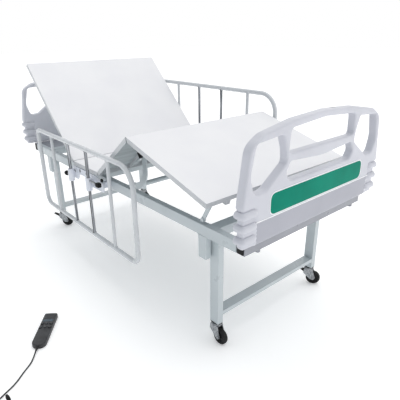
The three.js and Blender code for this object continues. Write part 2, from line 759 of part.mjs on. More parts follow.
function brakePedal() {
  const tip = [pedal.x - pedal.reach * 0.94, pedal.z + pedal.reach * 0.3];
  const blade = rounded([
    [pedal.x + 9, pedal.z - 12, 4], [pedal.x + 7, pedal.z + 6, 5], [pedal.x - 8, pedal.z + 6, 5],
    [tip[0], tip[1] + pedal.thick, 3], [tip[0], tip[1], 3], [pedal.x - 8, pedal.z - 7, 5],
  ]);
  const half = pedal.width / 2;
  return platePiece(blade, -half, half, 0, 3).subtract(
    bar([pedal.x, -half - 1, pedal.z], [pedal.x, half + 1, pedal.z], pedal.pin + RUN, 10),
  );
}

const tread = castor.tread / 2;
const tyre = ring(wheelProfile(tread, castor.wheel), 26);
const hub = bar([0, 0, -tread - 1], [0, 0, tread + 1], castor.axle + RUN, 10);
for (const [endName, end] of ends) {
  for (const [sideName, side] of sides) {
    const at = [end * leg.x, side * (leg.outer - leg.width / 2), 0];
    const name = `${endName}_${sideName}`;
    const braked = end * side > 0;
    const swivel = new THREE.Group();
    swivel.position.set(...at);
    swivel.rotation.z = deg(castorRest[name]);
    bed.add(swivel);
    place(swivel, `castor_fork_${name}`, castorFork(braked), "zinc");
    if (braked) place(swivel, `brake_pedal_${name}`, brakePedal(), "black");
    const wheel = place(swivel, `castor_wheel_${name}`, tyre.subtract(hub), "black");
    wheel.rotation.x = Math.PI / 2;
    wheel.position.set(castor.trail, 0, castor.wheel);
  }
}

// ---------------------------------------------------------------- handset, its buttons and cord
const remote = new THREE.Group();
remote.position.set(...handset.centre, 0);
remote.rotation.z = deg(handset.turn);
bed.add(remote);

function flatPiece(shape, z0, z1, bevel, steps = 7) {
  const g = new THREE.ExtrudeGeometry(shape, {
    depth: z1 - z0 - 2 * bevel, bevelThickness: bevel, bevelSize: bevel, bevelOffset: -bevel,
    bevelSegments: 1, curveSegments: steps,
  });
  return solid(g.translate(0, 0, z0 + bevel));
}

const buttonBottom = handset.height - handset.wellDepth + handset.travel + CLEAR;
function handsetBody() {
  const { length, width, height, round } = handset;
  const w = width / 2;
  const outline = rounded([
    [-length / 2, -w + 1, 5], [20, -w, 0], [length / 2, -w, 44], [length / 2, w, 44], [20, w, 0],
    [-length / 2, w - 1, 5],
  ]);
  const well = handset.button + RUN;
  const wells = handset.rows.flatMap((x) =>
    handset.columns.map((y) => bar([x, y, height - handset.wellDepth], [x, y, height + 1], well, 14)),
  );
  return flatPiece(outline, 0, height, round).subtract(union(wells));
}
place(remote, "handset_body", handsetBody(), "charcoal");
handset.rows.forEach((x, i) =>
  handset.columns.forEach((y, j) => {
    const made = bar([x, y, buttonBottom], [x, y, buttonBottom + handset.buttonHeight], handset.button, 14);
    place(remote, `button_${i ? "lower" : "upper"}_${j + 1}`, made, "black");
  }),
);

const route = new THREE.CatmullRomCurve3(cordRoute.map((p) => new THREE.Vector3(...p)));
const cordSection = new THREE.Shape(
  Array.from({ length: 8 }, (_, i) => {
    const a = (2 * Math.PI * (i + 0.5)) / 8;
    return new THREE.Vector2(cord.radius * Math.cos(a), cord.radius * Math.sin(a));
  }),
);
place(
  bed,
  "handset_cord",
  solid(new THREE.ExtrudeGeometry(cordSection, { extrudePath: route, steps: 24, bevelEnabled: false })),
  "charcoal",
);
const coilHalf = (coil.columns * cord.radius * 2) / 2 + 0.3;
const coilHigh = coil.layers * cord.radius * 2;
const coilBottom = cord.rest - cord.radius;
const coilRing = ring(
  [
    [coil.radius - coilHalf, coilBottom], [coil.radius + coilHalf, coilBottom],
    [coil.radius + coilHalf, coilBottom + coilHigh], [coil.radius - coilHalf, coilBottom + coilHigh],
    [coil.radius - coilHalf, coilBottom],
  ],
  28,
);
place(bed, "cord_coil", coilRing.translate([coil.x, coil.y, 0]), "charcoal");
const plugZ = coilBottom + coilHigh + CLEAR + plug.radius;
const plugX = coil.x - plug.length / 2 - 8;
const plugY = coil.y + coil.radius;
const plugTail = plugX + plug.length;
const plugBody = union([
  bar([plugX, plugY, plugZ], [plugTail, plugY, plugZ], plug.radius, 16),
  bar([plugTail - 1, plugY, plugZ], [plugTail + 12, plugY, plugZ], plug.radius - 2.5, 16),
]);
place(bed, "handset_plug", plugBody, "black");

// ---------------------------------------------------------------- origin
// The middle of the model's own footprint, without the cord and what is on it, at floor level.
const onCord = ["handset_cord", "cord_coil", "handset_plug"];
const footprint = new THREE.Box3();
bed.updateMatrixWorld(true);
bed.traverse((o) => {
  if (o.isMesh && !onCord.includes(o.name)) footprint.expandByObject(o, true);
});
const middle = footprint.getCenter(new THREE.Vector3());
bed.position.set(-middle.x, -middle.y, -footprint.min.z);

export default bed;
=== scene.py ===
"""Adjustable hospital bed: powder-coated tube frame, enamelled steel platform, blow-moulded end
boards, drop-down guards, castors, two actuators and a corded handset. Metres, +Z up."""

import json
import math

import bmesh
import bpy
import numpy as np
from mathutils import Matrix, Vector
from mathutils.geometry import delaunay_2d_cdt

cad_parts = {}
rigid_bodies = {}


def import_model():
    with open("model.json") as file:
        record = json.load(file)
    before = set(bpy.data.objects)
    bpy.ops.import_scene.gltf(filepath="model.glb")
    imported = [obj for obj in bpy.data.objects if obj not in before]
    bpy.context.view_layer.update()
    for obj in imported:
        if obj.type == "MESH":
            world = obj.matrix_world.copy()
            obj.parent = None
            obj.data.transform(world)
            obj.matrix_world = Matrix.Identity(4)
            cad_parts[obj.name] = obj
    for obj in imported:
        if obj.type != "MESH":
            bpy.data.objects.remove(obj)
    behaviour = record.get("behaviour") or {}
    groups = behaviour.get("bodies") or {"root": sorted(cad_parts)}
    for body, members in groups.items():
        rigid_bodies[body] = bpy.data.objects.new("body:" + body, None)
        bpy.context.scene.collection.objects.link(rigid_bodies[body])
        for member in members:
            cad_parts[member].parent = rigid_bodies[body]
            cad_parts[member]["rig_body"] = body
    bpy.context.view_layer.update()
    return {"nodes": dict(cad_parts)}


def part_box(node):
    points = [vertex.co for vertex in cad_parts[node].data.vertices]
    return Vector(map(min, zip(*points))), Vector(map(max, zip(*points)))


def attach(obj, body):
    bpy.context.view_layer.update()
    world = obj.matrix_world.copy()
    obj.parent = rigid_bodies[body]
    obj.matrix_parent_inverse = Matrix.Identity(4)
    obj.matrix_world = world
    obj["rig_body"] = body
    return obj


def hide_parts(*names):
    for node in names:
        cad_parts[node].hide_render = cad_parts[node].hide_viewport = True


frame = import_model()

MM = 0.001
SIDES = (("near", -1), ("far", 1))
ENDS = (("head", -1), ("foot", 1))
# The bed's own middle, across; the handset lies to one side, so the model's middle is elsewhere.
BED_Y = (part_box("side_rail_near")[0].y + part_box("side_rail_far")[1].y) / 2


def at_bed(x, y, z):
    """Points given in millimetres from the middle of the bed at floor level; numbers or arrays."""
    return np.stack(np.broadcast_arrays(x * MM, BED_Y + y * MM, z * MM), -1)


# ---- camera
def aim_camera(place, yaw, pitch, roll, lens):
    """Looks along a heading, turned down by a pitch and about its own axis by a roll (degrees)."""
    a, p, r = (math.radians(v) for v in (yaw, pitch, roll))
    ahead = Vector((-math.sin(a) * math.cos(p), math.cos(a) * math.cos(p), -math.sin(p)))
    right = ahead.cross(Vector((0, 0, 1))).normalized()
    up = right.cross(ahead)
    turned = right * math.cos(r) + up * math.sin(r)
    over = up * math.cos(r) - right * math.sin(r)
    data = bpy.data.cameras.new("camera")
    data.sensor_width = 36
    data.lens = lens
    data.clip_start = 0.05
    data.clip_end = 60
    made = bpy.data.objects.new("camera", data)
    bpy.context.scene.collection.objects.link(made)
    made.matrix_world = Matrix((turned, over, -ahead)).transposed().to_4x4()
    made.location = place
    bpy.context.scene.camera = made


aim_camera((1.85576, BED_Y - 1.34558, 1.27459), yaw=49.115, pitch=22.314, roll=-0.577, lens=36.626)


# ---- meshes
def dress(name, mesh, look, body, nodes, smooth=40):
    """Gives a finished mesh its material, smooth shading up to an angle, body and CAD nodes."""
    for one in look if isinstance(look, list) else [look]:
        mesh.materials.append(one)
    mesh.polygons.foreach_set("use_smooth", [True] * len(mesh.polygons))
    mesh.set_sharp_from_angle(angle=math.radians(smooth))
    made = bpy.data.objects.new(name, mesh)
    bpy.context.scene.collection.objects.link(made)
    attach(made, body)
    if nodes:
        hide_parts(*nodes)
    return made


class Shells:
    """Several closed surfaces gathered into one mesh."""

    def __init__(self):
        self.points = []
        self.faces = []
        self.count = 0

    def add(self, points, faces):
        self.points.append(np.asarray(points, float))
        self.faces += [[i + self.count for i in f] for f in faces]
        self.count += len(points)
        return self

    def piece(self, name, look, body, slot, nodes=(), smooth=40):
        """A mesh object at the origin, riding on a CAD body."""
        mesh = bpy.data.meshes.new(name)
        mesh.from_pydata(np.vstack(self.points).tolist(), [], self.faces)
        return dress(name, mesh, look, body, nodes, smooth)


def tube_faces(rows, around, closed=False):
    """Quads between closed rings of points; the rows join up too if asked, or else get end faces."""
    i = np.arange(rows if closed else rows - 1)[:, None]
    j = np.arange(around)[None, :]
    a, b = i * around + j, i * around + (j + 1) % around
    c, d = ((i + 1) % rows) * around + (j + 1) % around, ((i + 1) % rows) * around + j
    faces = np.stack([a, b, c, d], -1).reshape(-1, 4).tolist()
    if not closed:
        faces += [list(range(around))[::-1], list(range((rows - 1) * around, rows * around))]
    return faces


def unit(vectors):
    """Each vector divided by its length."""
    return vectors / np.linalg.norm(vectors, axis=-1, keepdims=True)


def swept(path, section, closed=False, up=(0, 0, 1), scale=None):
    """A closed outline carried along a path: each point is path + side * a + over * b, where side is
    the path's direction crossed with up, and a, b are the outline's two numbers times a scale."""
    path = np.asarray(path, float)
    section = np.asarray(section, float)
    n = len(path)
    if closed:
        along = np.roll(path, -1, 0) - np.roll(path, 1, 0)
    else:
        along = np.gradient(path, axis=0)
    along = unit(along)
    side = unit(np.cross(along, np.asarray(up, float)))
    over = np.cross(side, along)
    outline = np.broadcast_to(section, (n, *section.shape[-2:])).copy()
    if scale is not None:
        outline *= np.asarray(scale, float)[:, None, None]
    points = path[:, None] + outline[..., :1] * side[:, None] + outline[..., 1:] * over[:, None]
    return points.reshape(-1, 3), [f[::-1] for f in tube_faces(n, section.shape[-2], closed)]


def circle(radius, sides=28):
    """Points on a circle: radius times (cos a, sin a)."""
    a = np.arange(sides) * 2 * np.pi / sides
    return radius * np.stack([np.cos(a), np.sin(a)], 1)


def round_box(a, b, radius, steps=4):
    """A rectangle of half sizes a and b, with its corners rounded: corner centre + radius (cos, sin)."""
    turn = np.linspace(0, np.pi / 2, steps + 1)
    found = []
    for k, (sa, sb) in enumerate(((1, 1), (-1, 1), (-1, -1), (1, -1))):
        t = turn + k * np.pi / 2
        found.append(
            np.stack([sa * (a - radius) + radius * np.cos(t), sb * (b - radius) + radius * np.sin(t)], 1)
        )
    return np.vstack(found)


def beam(start, end, a, b, radius=0.004, up=(0, 0, 1), ease=0.0015):
    """A straight rounded bar; the sizes shrink by a quarter circle over the last bit of each end."""
    start, end = np.asarray(start, float), np.asarray(end, float)
    way = unit(end - start)
    turn = np.linspace(0, np.pi / 2, 4)
    back, inset = ease * (1 - np.sin(turn)), ease * (1 - np.cos(turn))
    path = [start + way * s for s in back] + [end - way * s for s in back[::-1]]
    cuts = np.concatenate([inset[::-1], inset])
    rings = [round_box(a - c, b - c, max(radius - c, 0.0004)) for c in cuts]
    return swept(path, np.array(rings), up=up)


def turned(profile, centre, axis, sides=36, wave=None):
    """A profile of (radius, height) turned round an axis: centre + axis h + r (u cos t + v sin t).
    A wave is a function of the angle that the radius is multiplied by."""
    axis = Vector(axis).normalized()
    u = axis.orthogonal().normalized()
    v = axis.cross(u)
    t = np.arange(sides) * 2 * np.pi / sides
    profile = np.asarray(profile, float)
    r, h = profile[:, 0][:, None], profile[:, 1][:, None]
    if wave is not None:
        r = r * wave(t)[None, :]
    ring = np.cos(t)[:, None] * np.array(u) + np.sin(t)[:, None] * np.array(v)
    points = np.asarray(centre, float) + r[..., None] * ring + h[..., None] * np.array(axis)
    return points.reshape(-1, 3), tube_faces(len(profile), sides)


def ring_turned(profile, centre, axis, sides):
    """A closed profile turned into a ring: the last row joins the first, so the bore stays open."""
    return turned(profile, centre, axis, sides)[0], tube_faces(len(profile), sides, closed=True)


def both_ways(half):
    """A profile and its mirror image: (r, h), and then (r, -h) in reverse."""
    return [*half, *[(r, -h) for r, h in half[::-1]]]


def rounded_profile(radius, low, high, soft, steps=4):
    """The outline of a disc or rod with quarter-round rims, from its lower face to its upper one."""
    t = np.linspace(0, np.pi / 2, steps + 1)
    lower = np.stack([radius - soft + soft * np.sin(t), low + soft - soft * np.cos(t)], 1)
    upper = np.stack([radius - soft + soft * np.cos(t), high - soft + soft * np.sin(t)], 1)
    return np.vstack([lower, upper])


def rod(start, end, radius, soft=0.0008, sides=28):
    """A round bar with softened rims between two points."""
    start, end = np.asarray(start, float), np.asarray(end, float)
    way = end - start
    long = float(np.linalg.norm(way))
    return turned(rounded_profile(radius, 0, long, soft), start, way, sides)


def rounded_outline(corners, spacing):
    """A closed polyline with each corner a quadratic curve; corners are (a, b, radius)."""
    n = len(corners)
    found = []
    for i, (a, b, r) in enumerate(corners):
        here = np.array([a, b], float)
        before = np.array(corners[i - 1][:2], float) - here
        after = np.array(corners[(i + 1) % n][:2], float) - here
        lb, la = np.linalg.norm(before), np.linalg.norm(after)
        half = math.acos(np.clip(before @ after / lb / la, -1, 1)) / 2
        cut = min(r / math.tan(half), 0.49 * lb, 0.49 * la)
        s, e = here + before / lb * cut, here + after / la * cut
        t = np.linspace(0, 1, 14)[:, None]
        found.append((1 - t) ** 2 * s + 2 * t * (1 - t) * here + t * t * e)
    line = np.vstack(found)
    line = np.vstack([line, line[:1]])
    along = np.concatenate([[0], np.cumsum(np.linalg.norm(np.diff(line, axis=0), axis=1))])
    count = max(8, round(along[-1] / spacing))
    at = np.linspace(0, along[-1], count, endpoint=False)
    return np.stack([np.interp(at, along, line[:, k]) for k in range(2)], 1)


def inside(points, outline):
    """Which points lie inside a closed outline, by counting the edges that a ray crosses."""
    a, b = outline, np.roll(outline, -1, 0)
    x, y = points[:, 0][:, None], points[:, 1][:, None]
    level = (a[:, 1] > y) != (b[:, 1] > y)
    slope = np.where(np.abs(b[:, 1] - a[:, 1]) < 1e-15, 1e-15, b[:, 1] - a[:, 1])
    cross = a[:, 0] + (y - a[:, 1]) / slope * (b[:, 0] - a[:, 0])
    return (level & (x < cross)).sum(1) % 2 == 1


def away(points, outline):
    """How far each point is from a closed outline: the least distance to any of its edges."""
    a, b = outline, np.roll(outline, -1, 0)
    best = np.full(len(points), np.inf)
    for s in range(0, len(points), 2000):
        p = points[s : s + 2000][:, None]
        d = b - a
        t = np.clip(((p - a) * d).sum(-1) / np.maximum((d * d).sum(-1), 1e-15), 0, 1)
        best[s : s + 2000] = np.linalg.norm(p - a - t[..., None] * d, axis=-1).min(1)
    return best


def relief(outlines, spacing, rings, front, back, lines=()):
    """A moulded slab: the flat region inside the first outline and outside the rest, meshed with rings
    of points near each edge and a hexagonal net inside, then raised to front(p, d) on one face and
    back(p, d) on the other, where d is the distance to the nearest edge. Returns points (a, b, h)."""
    edge_points, edges, count = [], [], 0
    for o in outlines:
        n = len(o)
        edge_points.append(o)
        edges += [(count + i, count + (i + 1) % n) for i in range(n)]
        count += n
    rim = np.vstack(edge_points)
    holes = outlines[1:]
    region = lambda p: inside(p, outlines[0]) & ~np.any([inside(p, o) for o in holes] or [[False]], 0)
    depth = lambda p: np.min([away(p, o) for o in outlines], 0)
    extra = []
    for o in outlines:
        way = np.roll(o, -1, 0) - np.roll(o, 1, 0)
        normal = np.stack([-way[:, 1], way[:, 0]], 1) / np.linalg.norm(way, axis=1)[:, None]
        for step in rings:
            for turn in (1, -1):
                p = o + turn * step * normal
                p = p[region(p)]
                extra.append(p[np.abs(depth(p) - step) < 0.06 * step + 1e-5])
    lo, hi = outlines[0].min(0), outlines[0].max(0)
    gx, gy = np.meshgrid(
        np.arange(lo[0], hi[0], spacing), np.arange(lo[1], hi[1], spacing * 0.866), indexing="ij"
    )
    gx = gx + (np.arange(gx.shape[1]) % 2)[None, :] * spacing / 2
    net = np.stack([gx.ravel(), gy.ravel()], 1)
    for a0, a1, b in lines:
        row = np.arange(a0, a1, spacing)
        net = net[~((np.abs(net[:, 1] - b) < spacing * 0.3) & (net[:, 0] > a0) & (net[:, 0] < a1))]
        net = np.vstack([net, np.stack([row, np.full(len(row), b)], 1)])
    net = net[region(net)]
    net = net[depth(net) > rings[-1] + 0.35 * spacing]
    flat = np.vstack([rim, *extra, net])
    verts, _, tris, *_ = delaunay_2d_cdt([Vector(p) for p in flat], edges, [], 0, 1e-7)
    verts = np.array([tuple(v) for v in verts])
    tris = np.array([t for t in tris if len(t) == 3])
    tris = tris[region(verts[tris].mean(1))]
    used, tris = np.unique(tris, return_inverse=True)
    tris = tris.reshape(-1, 3)
    verts = verts[used]
    a, b, c = verts[tris[:, 0]], verts[tris[:, 1]], verts[tris[:, 2]]
    flip = (b[:, 0] - a[:, 0]) * (c[:, 1] - a[:, 1]) - (b[:, 1] - a[:, 1]) * (c[:, 0] - a[:, 0]) < 0
    tris[flip] = tris[flip][:, ::-1]
    d = depth(verts)
    n = len(verts)
    top = np.column_stack([verts, front(verts, d)])
    low = np.column_stack([verts, back(verts, d)])
    pairs = np.vstack([tris[:, [0, 1]], tris[:, [1, 2]], tris[:, [2, 0]]])
    keys = set(map(tuple, pairs.tolist()))
    wall = [[i, i + n, j + n, j] for i, j in map(tuple, pairs.tolist()) if (j, i) not in keys]
    faces = tris.tolist() + (tris[:, ::-1] + n).tolist() + wall
    return np.vstack([top, low]), faces


def quarter(d, radius):
    """How far a rounded edge falls at a distance d from it: r - sqrt(r^2 - (r - d)^2)."""
    short = np.maximum(radius - np.minimum(d, radius), 0)
    return radius - np.sqrt(np.maximum(radius**2 - short**2, 0))


def smooth_step(x):
    x = np.clip(x, 0, 1)
    return x * x * (3 - 2 * x)


RIM_ANGLES = np.radians([18, 36, 54, 72, 90])


def rim_rings(radius):
    """Where a rounded edge needs points: r (1 - cos t) for even steps of t."""
    return (radius * (1 - np.cos(RIM_ANGLES))).tolist()


def softened(node, width, look, steps=3, under=None):
    """A CAD node's own shape with its doubles merged, flat faces joined and its edges rounded.
    Where under is given, as (underside look, side look, up), the faces that look down from the piece's own up
    take the first of those looks, a painted shade, and its sides the second, a darker painted shade."""
    mesh = frame["nodes"][node].data.copy()
    mesh.materials.clear()
    work = bmesh.new()
    work.from_mesh(mesh)
    bmesh.ops.remove_doubles(work, verts=work.verts, dist=2e-5)
    bmesh.ops.dissolve_limit(work, angle_limit=math.radians(0.4), verts=work.verts, edges=work.edges)
    work.to_mesh(mesh)
    work.free()
    mesh.name = node + "_skin"
    stale = ("custom_normal", "sharp_edge", "sharp_face")
    for key in [a.name for a in mesh.attributes if a.name in stale]:
        mesh.attributes.remove(mesh.attributes[key])
    looks = look if under is None else [look, *under[:2]]
    made = dress(mesh.name, mesh, looks, frame["nodes"][node]["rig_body"], [node])
    if under is not None:
        # Painted shade: faces turned down take the underside grey, faces turned sideways the darker side
        # grey.
        normals = np.zeros(len(mesh.polygons) * 3)
        mesh.polygons.foreach_get("normal", normals)
        facing = normals.reshape(-1, 3) @ np.asarray(under[2], float)
        rows = np.where(facing < -0.35, 1, np.where(facing < 0.35, 2, 0))
        mesh.polygons.foreach_set("material_index", rows.astype(np.int32))
    bevel = made.modifiers.new("soft edges", "BEVEL")
    bevel.width = width
    bevel.segments = steps
    bevel.limit_method = "ANGLE"
    bevel.angle_limit = math.radians(35)
    bevel.use_clamp_overlap = True
    bevel.harden_normals = False
    even = made.modifiers.new("even faces", "WEIGHTED_NORMAL")
    even.weight = 80
    even.keep_sharp = True
    return made


# ---- materials
def linear(code):
    """An sRGB hex colour as linear light."""
    value = np.array([int(code[i : i + 2], 16) for i in (1, 3, 5)]) / 255
    value = np.where(value <= 0.04045, value / 12.92, ((value + 0.055) / 1.055) ** 2.4)
    return (*value.tolist(), 1.0)


def add_node(tree, kind, links=None, **settings):
    """Adds a node; settings are its properties, or its inputs' values where the name is an input."""
    node = tree.nodes.new("ShaderNode" + kind)
    for key, value in settings.items():
        if hasattr(node, key):
            setattr(node, key, value)
    for key, value in settings.items():
        if not hasattr(node, key):
            node.inputs[key.replace("_", " ")].default_value = value
    for key, source in (links or {}).items():
        tree.links.new(source, node.inputs[key])
    return node


def shader(name, base, **values):
    """A new material with its Principled shader; constants go straight on its sockets."""
    made = bpy.data.materials.new(name)
    made.use_nodes = True
    made.node_tree.nodes.clear()
    tree = made.node_tree
    body = add_node(tree, "BsdfPrincipled", Base_Color=linear(base), **values)
    add_node(tree, "OutputMaterial", {"Surface": body.outputs["BSDF"]})
    made.diffuse_color = linear(base)
    return made, tree, body


def patches(tree, size, stretch, detail):
    """A noise between nought and one in patches of a real size, in metres, on the piece itself."""
    place = add_node(tree, "TexCoord").outputs["Object"]
    scaled = add_node(tree, "Mapping", {"Vector": place}, Scale=stretch)
    noise = add_node(tree, "TexNoise", {"Vector": scaled.outputs["Vector"]}, Scale=1 / size, Detail=detail)
    return noise.outputs["Fac"]


def mottle(tree, body, low, high, size, stretch=(1, 1, 1), detail=3.0):
    """The base colour drifts between two shades in patches of a real size."""
    ramp = add_node(tree, "ValToRGB", {"Fac": patches(tree, size, stretch, detail)})
    for stop, position, code in zip(ramp.color_ramp.elements, (0.35, 0.65), (low, high)):
        stop.position = position
        stop.color = linear(code)
    tree.links.new(ramp.outputs["Color"], body.inputs["Base Color"])


def uneven_gloss(tree, body, low, high, size, stretch=(1, 1, 1)):
    """The roughness drifts between two values in patches of a real size."""
    drift = {"Value": patches(tree, size, stretch, 4.0)}
    spread = add_node(tree, "MapRange", drift, From_Min=0.3, From_Max=0.7, To_Min=low, To_Max=high)
    tree.links.new(spread.outputs["Result"], body.inputs["Roughness"])


def grain(tree, body, size, height, stretch=(1, 1, 1)):
    """A fine relief of a real grain size and height, in metres."""
    rise = {"Height": patches(tree, size, stretch, 2.0)}
    bump = add_node(tree, "Bump", rise, Strength=1.0, Distance=height)
    tree.links.new(bump.outputs["Normal"], body.inputs["Normal"])


def powder_coat(name, low, high, rough=(0.26, 0.36)):
    """Polyester powder baked on steel tube: a cool white skin with a faint orange peel of about 2 mm,
    drawn at 4 mm so that it shows, under a soft gloss."""
    made, tree, body = shader(name, high, Roughness=0.3, Coat_Weight=0.25, Coat_Roughness=0.18)
    mottle(tree, body, low, high, 0.14, detail=1.0)
    uneven_gloss(tree, body, *rough, 0.09)
    grain(tree, body, 0.004, 0.00004)
    return made


def board_plastic(name, low, high):
    """Blow-moulded polyethylene: satin, a little waxy, with the mould's fine spark grain and the slow
    waviness of a cooled skin; light soaks in slightly."""
    made, tree, body = shader(
        name, high, Roughness=0.34, IOR=1.51, Coat_Weight=0.15, Coat_Roughness=0.3,
        Subsurface_Weight=0.04, Subsurface_Radius=(0.004, 0.004, 0.0045),
    )
    mottle(tree, body, low, high, 0.16)
    uneven_gloss(tree, body, 0.3, 0.42, 0.07)
    grain(tree, body, 0.0035, 0.00010)
    return made


def plain_plastic(name, low, high, rough, size=0.0016, height=0.00010, shine=0.5):
    """Injection-moulded ABS or polypropylene with an eroded grain of about a millimetre."""
    made, tree, body = shader(name, high, Roughness=rough, IOR=1.49, Specular_IOR_Level=shine)
    mottle(tree, body, low, high, 0.03)
    uneven_gloss(tree, body, rough - 0.06, rough + 0.08, 0.02)
    grain(tree, body, size, height)
    return made


def metal(name, low, high, rough, size, stretch=(1, 1, 1)):
    """Plated steel: mirror-like under fine polishing or brushing lines, with slow shifts of tone."""
    made, tree, body = shader(name, high, Metallic=1.0, Roughness=sum(rough) / 2)
    mottle(tree, body, low, high, size * 2, stretch=stretch)
    uneven_gloss(tree, body, *rough, size, stretch)
    grain(tree, body, size, 0.00003, stretch=stretch)
    return made


def deck_enamel():
    """White baked enamel on sheet steel: near-flat colour, a faint flow pattern and a low sheen."""
    made, tree, body = shader("white_baked_enamel", "#ECECEF", Roughness=0.45, Coat_Weight=0.08)
    mottle(tree, body, "#EAEAED", "#EEEEF0", 0.22)
    uneven_gloss(tree, body, 0.36, 0.48, 0.12)
    grain(tree, body, 0.005, 0.00008)
    return made


def painted_shade_grey():
    """Painted shade: a mid grey standing in for the shade on the underside of the sheets, with fine streaks
    across it.
    """
    made, tree, body = shader("underside_grey_painted_shade", "#9AA3A6", Roughness=0.6)
    mottle(tree, body, "#8B9497", "#A9B1B4", 0.035, stretch=(1, 0.12, 1))
    grain(tree, body, 0.0025, 0.00012)
    return made


def green_print():
    """Teal acrylic plate, printed and cast: deep even colour, hard gloss over a slight ripple."""
    made, tree, body = shader(
        "teal_cast_acrylic", "#00866F", Roughness=0.38, IOR=1.49, Specular_IOR_Level=0.06
    )
    mottle(tree, body, "#00806A", "#008B73", 0.12)
    grain(tree, body, 0.02, 0.00015)
    return made


def tyre_rubber():
    """Solid black rubber tread, dull, with scuffs round its running face."""
    made, tree, body = shader("black_rubber_tread", "#09090A", Roughness=0.75)
    mottle(tree, body, "#060607", "#101011", 0.006)
    grain(tree, body, 0.0015, 0.0002)
    return made


frame_paint = powder_coat("cool_white_powder_coat", "#BDC5C9", "#C3CBCE")
guard_paint = powder_coat("guard_white_powder_coat", "#CDD0D3", "#D3D6D9", (0.22, 0.32))
plate_paint = powder_coat("plate_white_powder_coat", "#DADEE8", "#E4E7EF")
tube_paint = powder_coat("lilac_grey_powder_coat", "#93959D", "#999BA3")
board_skin = board_plastic("satin_blow_moulded_polyethylene", "#CBCCD4", "#D1D2DA")
# Painted shade: a darker copy of the board plastic for the lower panel's outer face.
apron_painted_shade = board_plastic("polyethylene_with_painted_shade", "#A9AAB4", "#AEAFB9")
# Painted shade: a darker grey copy of the deck enamel for the panels' sideways faces.
deck_sides_painted_shade = powder_coat("painted_shade_deck_sides", "#BFC2C5", "#CDCFD2", (0.4, 0.5))
# A white bead round each teal plate, and a painted highlight: the bright white line along the step above the
# lower panel.
white_bead_and_painted_highlight = plain_plastic("plate_bead_and_painted_highlight_line", "#F6F7FA", "#FFFFFF", 0.35)
deck_white = deck_enamel()
underside_painted_shade = painted_shade_grey()
teal = green_print()
chrome = metal("polished_chrome_plate", "#2E3034", "#B9BCC1", (0.05, 0.14), 0.003, (1, 1, 0.03))
zinc = metal("bright_zinc_plate", "#7E8185", "#B4B7BA", (0.24, 0.40), 0.0035)
black_plastic = plain_plastic("black_polypropylene", "#040405", "#0A0A0B", 0.5, shine=0.25)
motor_grey = plain_plastic("grey_abs_housing", "#6A6E73", "#787C81", 0.48, 0.002, 0.00012)
hub_grey = plain_plastic("black_nylon_hub", "#0C0C0E", "#161618", 0.5, shine=0.3)
tyre_black = tyre_rubber()
handset_shell = plain_plastic("charcoal_abs_shell", "#2B2C2F", "#37383B", 0.5, 0.0012, 0.00010)
handset_inlay = plain_plastic("slate_polycarbonate_inlay", "#34424C", "#41525E", 0.3, 0.004, 0.00004)
key_rubber = plain_plastic("glossy_black_key_cap", "#2A2B2E", "#3C3E42", 0.22, 0.0015, 0.00002)
cord_sheath = plain_plastic("charcoal_pvc_sheath", "#161719", "#232427", 0.5, 0.002, 0.00006)

# ---- handset cord
CORD_RADIUS = 0.003
CORD_LENGTH = 2.0
# From the handset: straight out, down to the floor, then in a slow bend to its coil (mm, bed's middle).
CORD_ROUTE = [
    (325.8, -968.4, 12), (338, -978, 11.8), (351, -988, 10.6), (364, -998, 8), (377, -1009, 5.2),
    (390, -1021.5, 3.6), (402, -1035.5, 3.2), (413, -1050.5, 3.2), (424, -1065, 3.2), (436, -1079, 3.2),
    (448, -1093.5, 3.2), (459, -1109, 3.2), (469, -1125.5, 3.2), (477, -1142.5, 3.2), (485, -1159.5, 3.2),
    (494.5, -1176, 3.2), (505.5, -1190, 3.2), (517, -1200.5, 3.2),
]
COIL_CENTRE = (561.5, -1189.7)
COIL_OUTER = 39.0
COIL_PITCH = 6.2
COIL_RISE = 6.15
COIL_START = 222.0  # degrees
COIL_TURN_POINTS = 20
PLUG_CENTRE = (544.5, -1156.7, 32.6)


def coil_points(turns):
    """Flat spirals on each other: the radius goes in by one pitch a turn for two turns, the winding
    climbs over a quarter turn, and the next layer comes back out; x, y = r cos a, r sin a."""
    u = np.arange(0, turns, 1 / COIL_TURN_POINTS)
    layer = np.floor(u / 2)
    part = u - 2 * layer
    inward = COIL_OUTER - COIL_PITCH * part
    outward = COIL_OUTER - COIL_PITCH * (2 - part)
    r = np.where(layer % 2 == 0, inward, outward)
    z = CORD_ROUTE[-1][2] + COIL_RISE * (layer + smooth_step((part - 1.75) / 0.25))
    a = np.radians(COIL_START) + 2 * np.pi * u
    return np.stack([COIL_CENTRE[0] + r * np.cos(a), COIL_CENTRE[1] + r * np.sin(a), z], 1)


def through(points, fine=8):
    """A smooth line through points: Catmull-Rom, a cubic of each four neighbours."""
    p = np.asarray(points, float)
    p = np.vstack([2 * p[0] - p[1], p, 2 * p[-1] - p[-2]])
    t = np.linspace(0, 1, fine, endpoint=False)[:, None, None]
    a, b, c, d = p[:-3], p[1:-2], p[2:-1], p[3:]
    line = 0.5 * (2 * b + (c - a) * t + (2 * a - 5 * b + 4 * c - d) * t**2 + (3 * b - a - 3 * c + d) * t**3)
    return np.vstack([line.transpose(1, 0, 2).reshape(-1, 3), p[-2]])


def whole_cord():
    """The route, the coil and the rise to the plug, with the coil's turns chosen for the length."""
    plug_end = np.array(PLUG_CENTRE) + np.array([24.0, 0, 0])
    steps = [(34, -19, -10.4), (23, -8.6, -7.6), (12, -2.2, -3), (0, 0, 0)]
    lead = [plug_end + np.array(step) for step in steps]
    best = None
    for turns in np.arange(7.2, 8.6, 0.05):
        wound = coil_points(turns)
        gap = float(np.linalg.norm(wound[-1] - lead[0]))
        line = through([*CORD_ROUTE, *wound, *lead])
        total = float(np.linalg.norm(np.diff(line, axis=0), axis=1).sum())
        score = gap + abs(total - CORD_LENGTH / MM) * 0.2
        if best is None or score < best[0]:
            best = (score, turns)
    return np.array([*CORD_ROUTE, *coil_points(best[1]), *lead])


